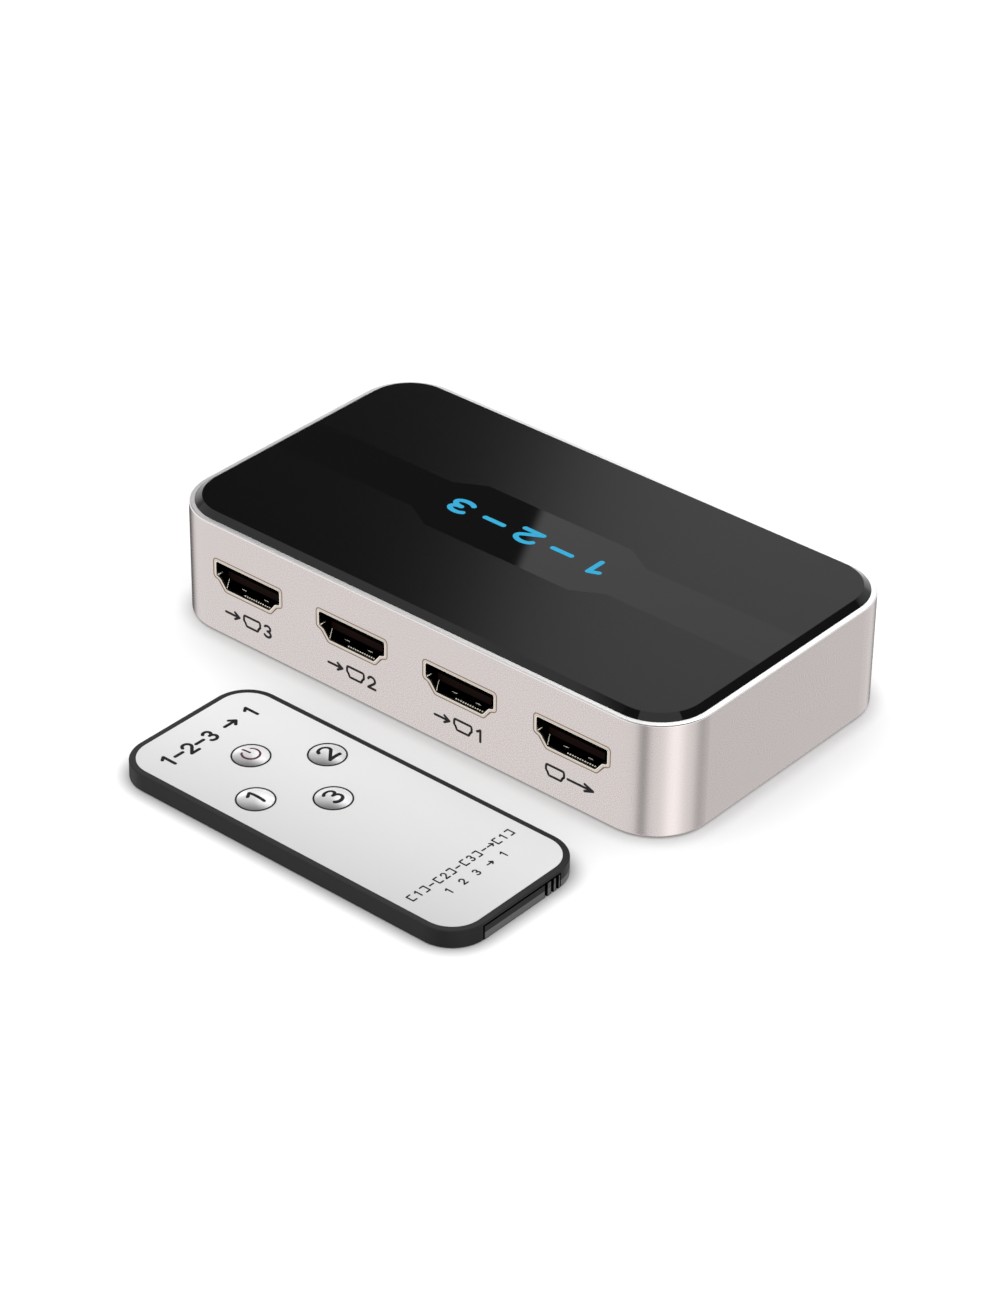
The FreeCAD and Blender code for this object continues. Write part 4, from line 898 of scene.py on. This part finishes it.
def add_labels(black):
    """Arrow in and number for each source, arrow out for the screen, each with a small socket."""
    height = 2.1
    for name, x in SOCKET_X.items():
        wall = flat_place((x, SWITCH_FRONT, LABEL_Z), (1, 0, 0), (0, 0, 1))
        if name == "out":
            mark_x = -3.1
            strokes = glyph(">", (2.05, 0), height, 2.5)
        else:
            mark_x = 0.8
            strokes = glyph(">", (-3.45, 0), height, 1.5) + glyph(name[-1], (4.25, 0), height, 1.15)
        mark = socket_mark((mark_x, 0), 3.6, 1.9)
        label = merge([ribbons(strokes, 0.42, wall), ribbons([mark], 0.4, wall, closed=True)])
        new_object(f"mark_{name}", *label, black, "switch", "black_plastic")


def add_caps(black, red, gap_shade_ink):
    """Figures on the four caps, and a ring of painted shade over the gap round each."""
    power_sign = [arc(0, 0, 1.45, 125, 405, 40), [(0, 0.2), (0, 1.8)]]
    angles = [TURN * i / 56 for i in range(56)]
    for name, (x, y) in BUTTON_SPOTS.items():
        x0, y0 = REMOTE_SPOT[0] + x, REMOTE_SPOT[1] + y
        place = dome_place((x0, y0), (0, 1, 0), (-1, 0, 0))
        if name == "power":
            strokes, stroke_width, paint = power_sign, 0.34, red
        else:
            strokes, stroke_width, paint = glyph(name, (0, 0), 3.1, 1.15), 0.56, black
        figure = ribbons(strokes, stroke_width, place, longest=0.4)
        new_object(f"cap_mark_{name}", *figure, paint, f"cap_{name}", "black_plastic")
        # Painted shade: a near black ring laid over the gap round each cap.
        loop = [(x0 + CAP_SHADE_RING_RADIUS * math.cos(a), y0 + CAP_SHADE_RING_RADIUS * math.sin(a), REMOTE_TOP - 0.02)
                for a in angles]
        ring = tube(loop, 0.15, across=(0, 0, 1))
        smooth(new_object(f"cap_shade_ring_{name}", *ring, gap_shade_ink, "remote", "case_grey"))


def add_back_marks(black):
    """Small figures under the lamps, an arrow under the button, a direct current sign under the jack."""
    lamps = sorted(LAMP_X, reverse=True)
    lamp_ring = arc(0, 0, 0.5, 0, 345, 24)
    pieces = [ribbons([lamp_ring], 0.2, back_wall(lamps[0], BACK_MARKS_Z), closed=True)]
    for x, name in zip(lamps[1:], "123"):
        pieces.append(ribbons(glyph(name, (0, 0), 1.5), 0.22, back_wall(x, BACK_MARKS_Z)))
    pieces.append(ribbons(glyph(">", (0, 0), 1.8, 1.3), 0.24, back_wall(SELECT_X, BACK_MARKS_Z)))
    lines = [[(-1.1, 0.3), (1.1, 0.3)]] + [[(u - 0.22, -0.3), (u + 0.22, -0.3)] for u in (-0.88, 0, 0.88)]
    pieces.append(ribbons(lines, 0.24, back_wall(JACK_X, BACK_MARKS_Z)))
    new_object("back_marks", *merge(pieces), black, "switch", "black_plastic")


def add_remote_rows(black):
    """A large row of figures near the caps, and two rows of small ones at the tray's end."""
    plate = flat_place((*REMOTE_SPOT, REMOTE_TOP), (0, 1, 0), (-1, 0, 0))
    title = ribbons(row("1-2-3 > 1", (-0.25, 28.4), height=2.6, advance=2.3), 0.56, plate)
    new_object("remote_title", *title, black, "remote", "black_plastic")
    upper = row("[1]-[2]-[3]->[1]", (-0.1, -23.35), height=1.4, advance=1.48, width=0.9)
    lower = row("1 2 3 > 1", (0, -26.3), height=1.3, advance=1.55)
    rows = merge([ribbons(upper, 0.25, plate), ribbons(lower, 0.25, plate)])
    new_object("remote_rows", *rows, black, "remote", "black_plastic")


def add_prints():
    blue = ink("print_blue", PRINT_BLUE)
    black = ink("print_black", PRINT_BLACK)
    red = ink("print_red", PRINT_RED)
    # Near black for the painted shade in the gap round each cap.
    gap_shade_ink = ink("painted_cap_gap_shade", (0.02, 0.02, 0.02), 0.6)
    add_panel_numerals(blue)
    add_labels(black)
    add_caps(black, red, gap_shade_ink)
    add_back_marks(black)
    add_remote_rows(black)


def hide_remote_from_reflections():
    """The switch's walls show an even studio, without the remote in front of them."""
    for thing in bpy.context.scene.objects:
        if thing.get("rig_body", "switch") not in ("switch", "select_key"):
            thing.visible_glossy = False


add_camera()
add_world()
add_floor()
add_lamp()
paint_solids()
add_sockets()
add_prints()
hide_remote_from_reflections()

bpy.context.scene.view_settings.view_transform = "Standard"
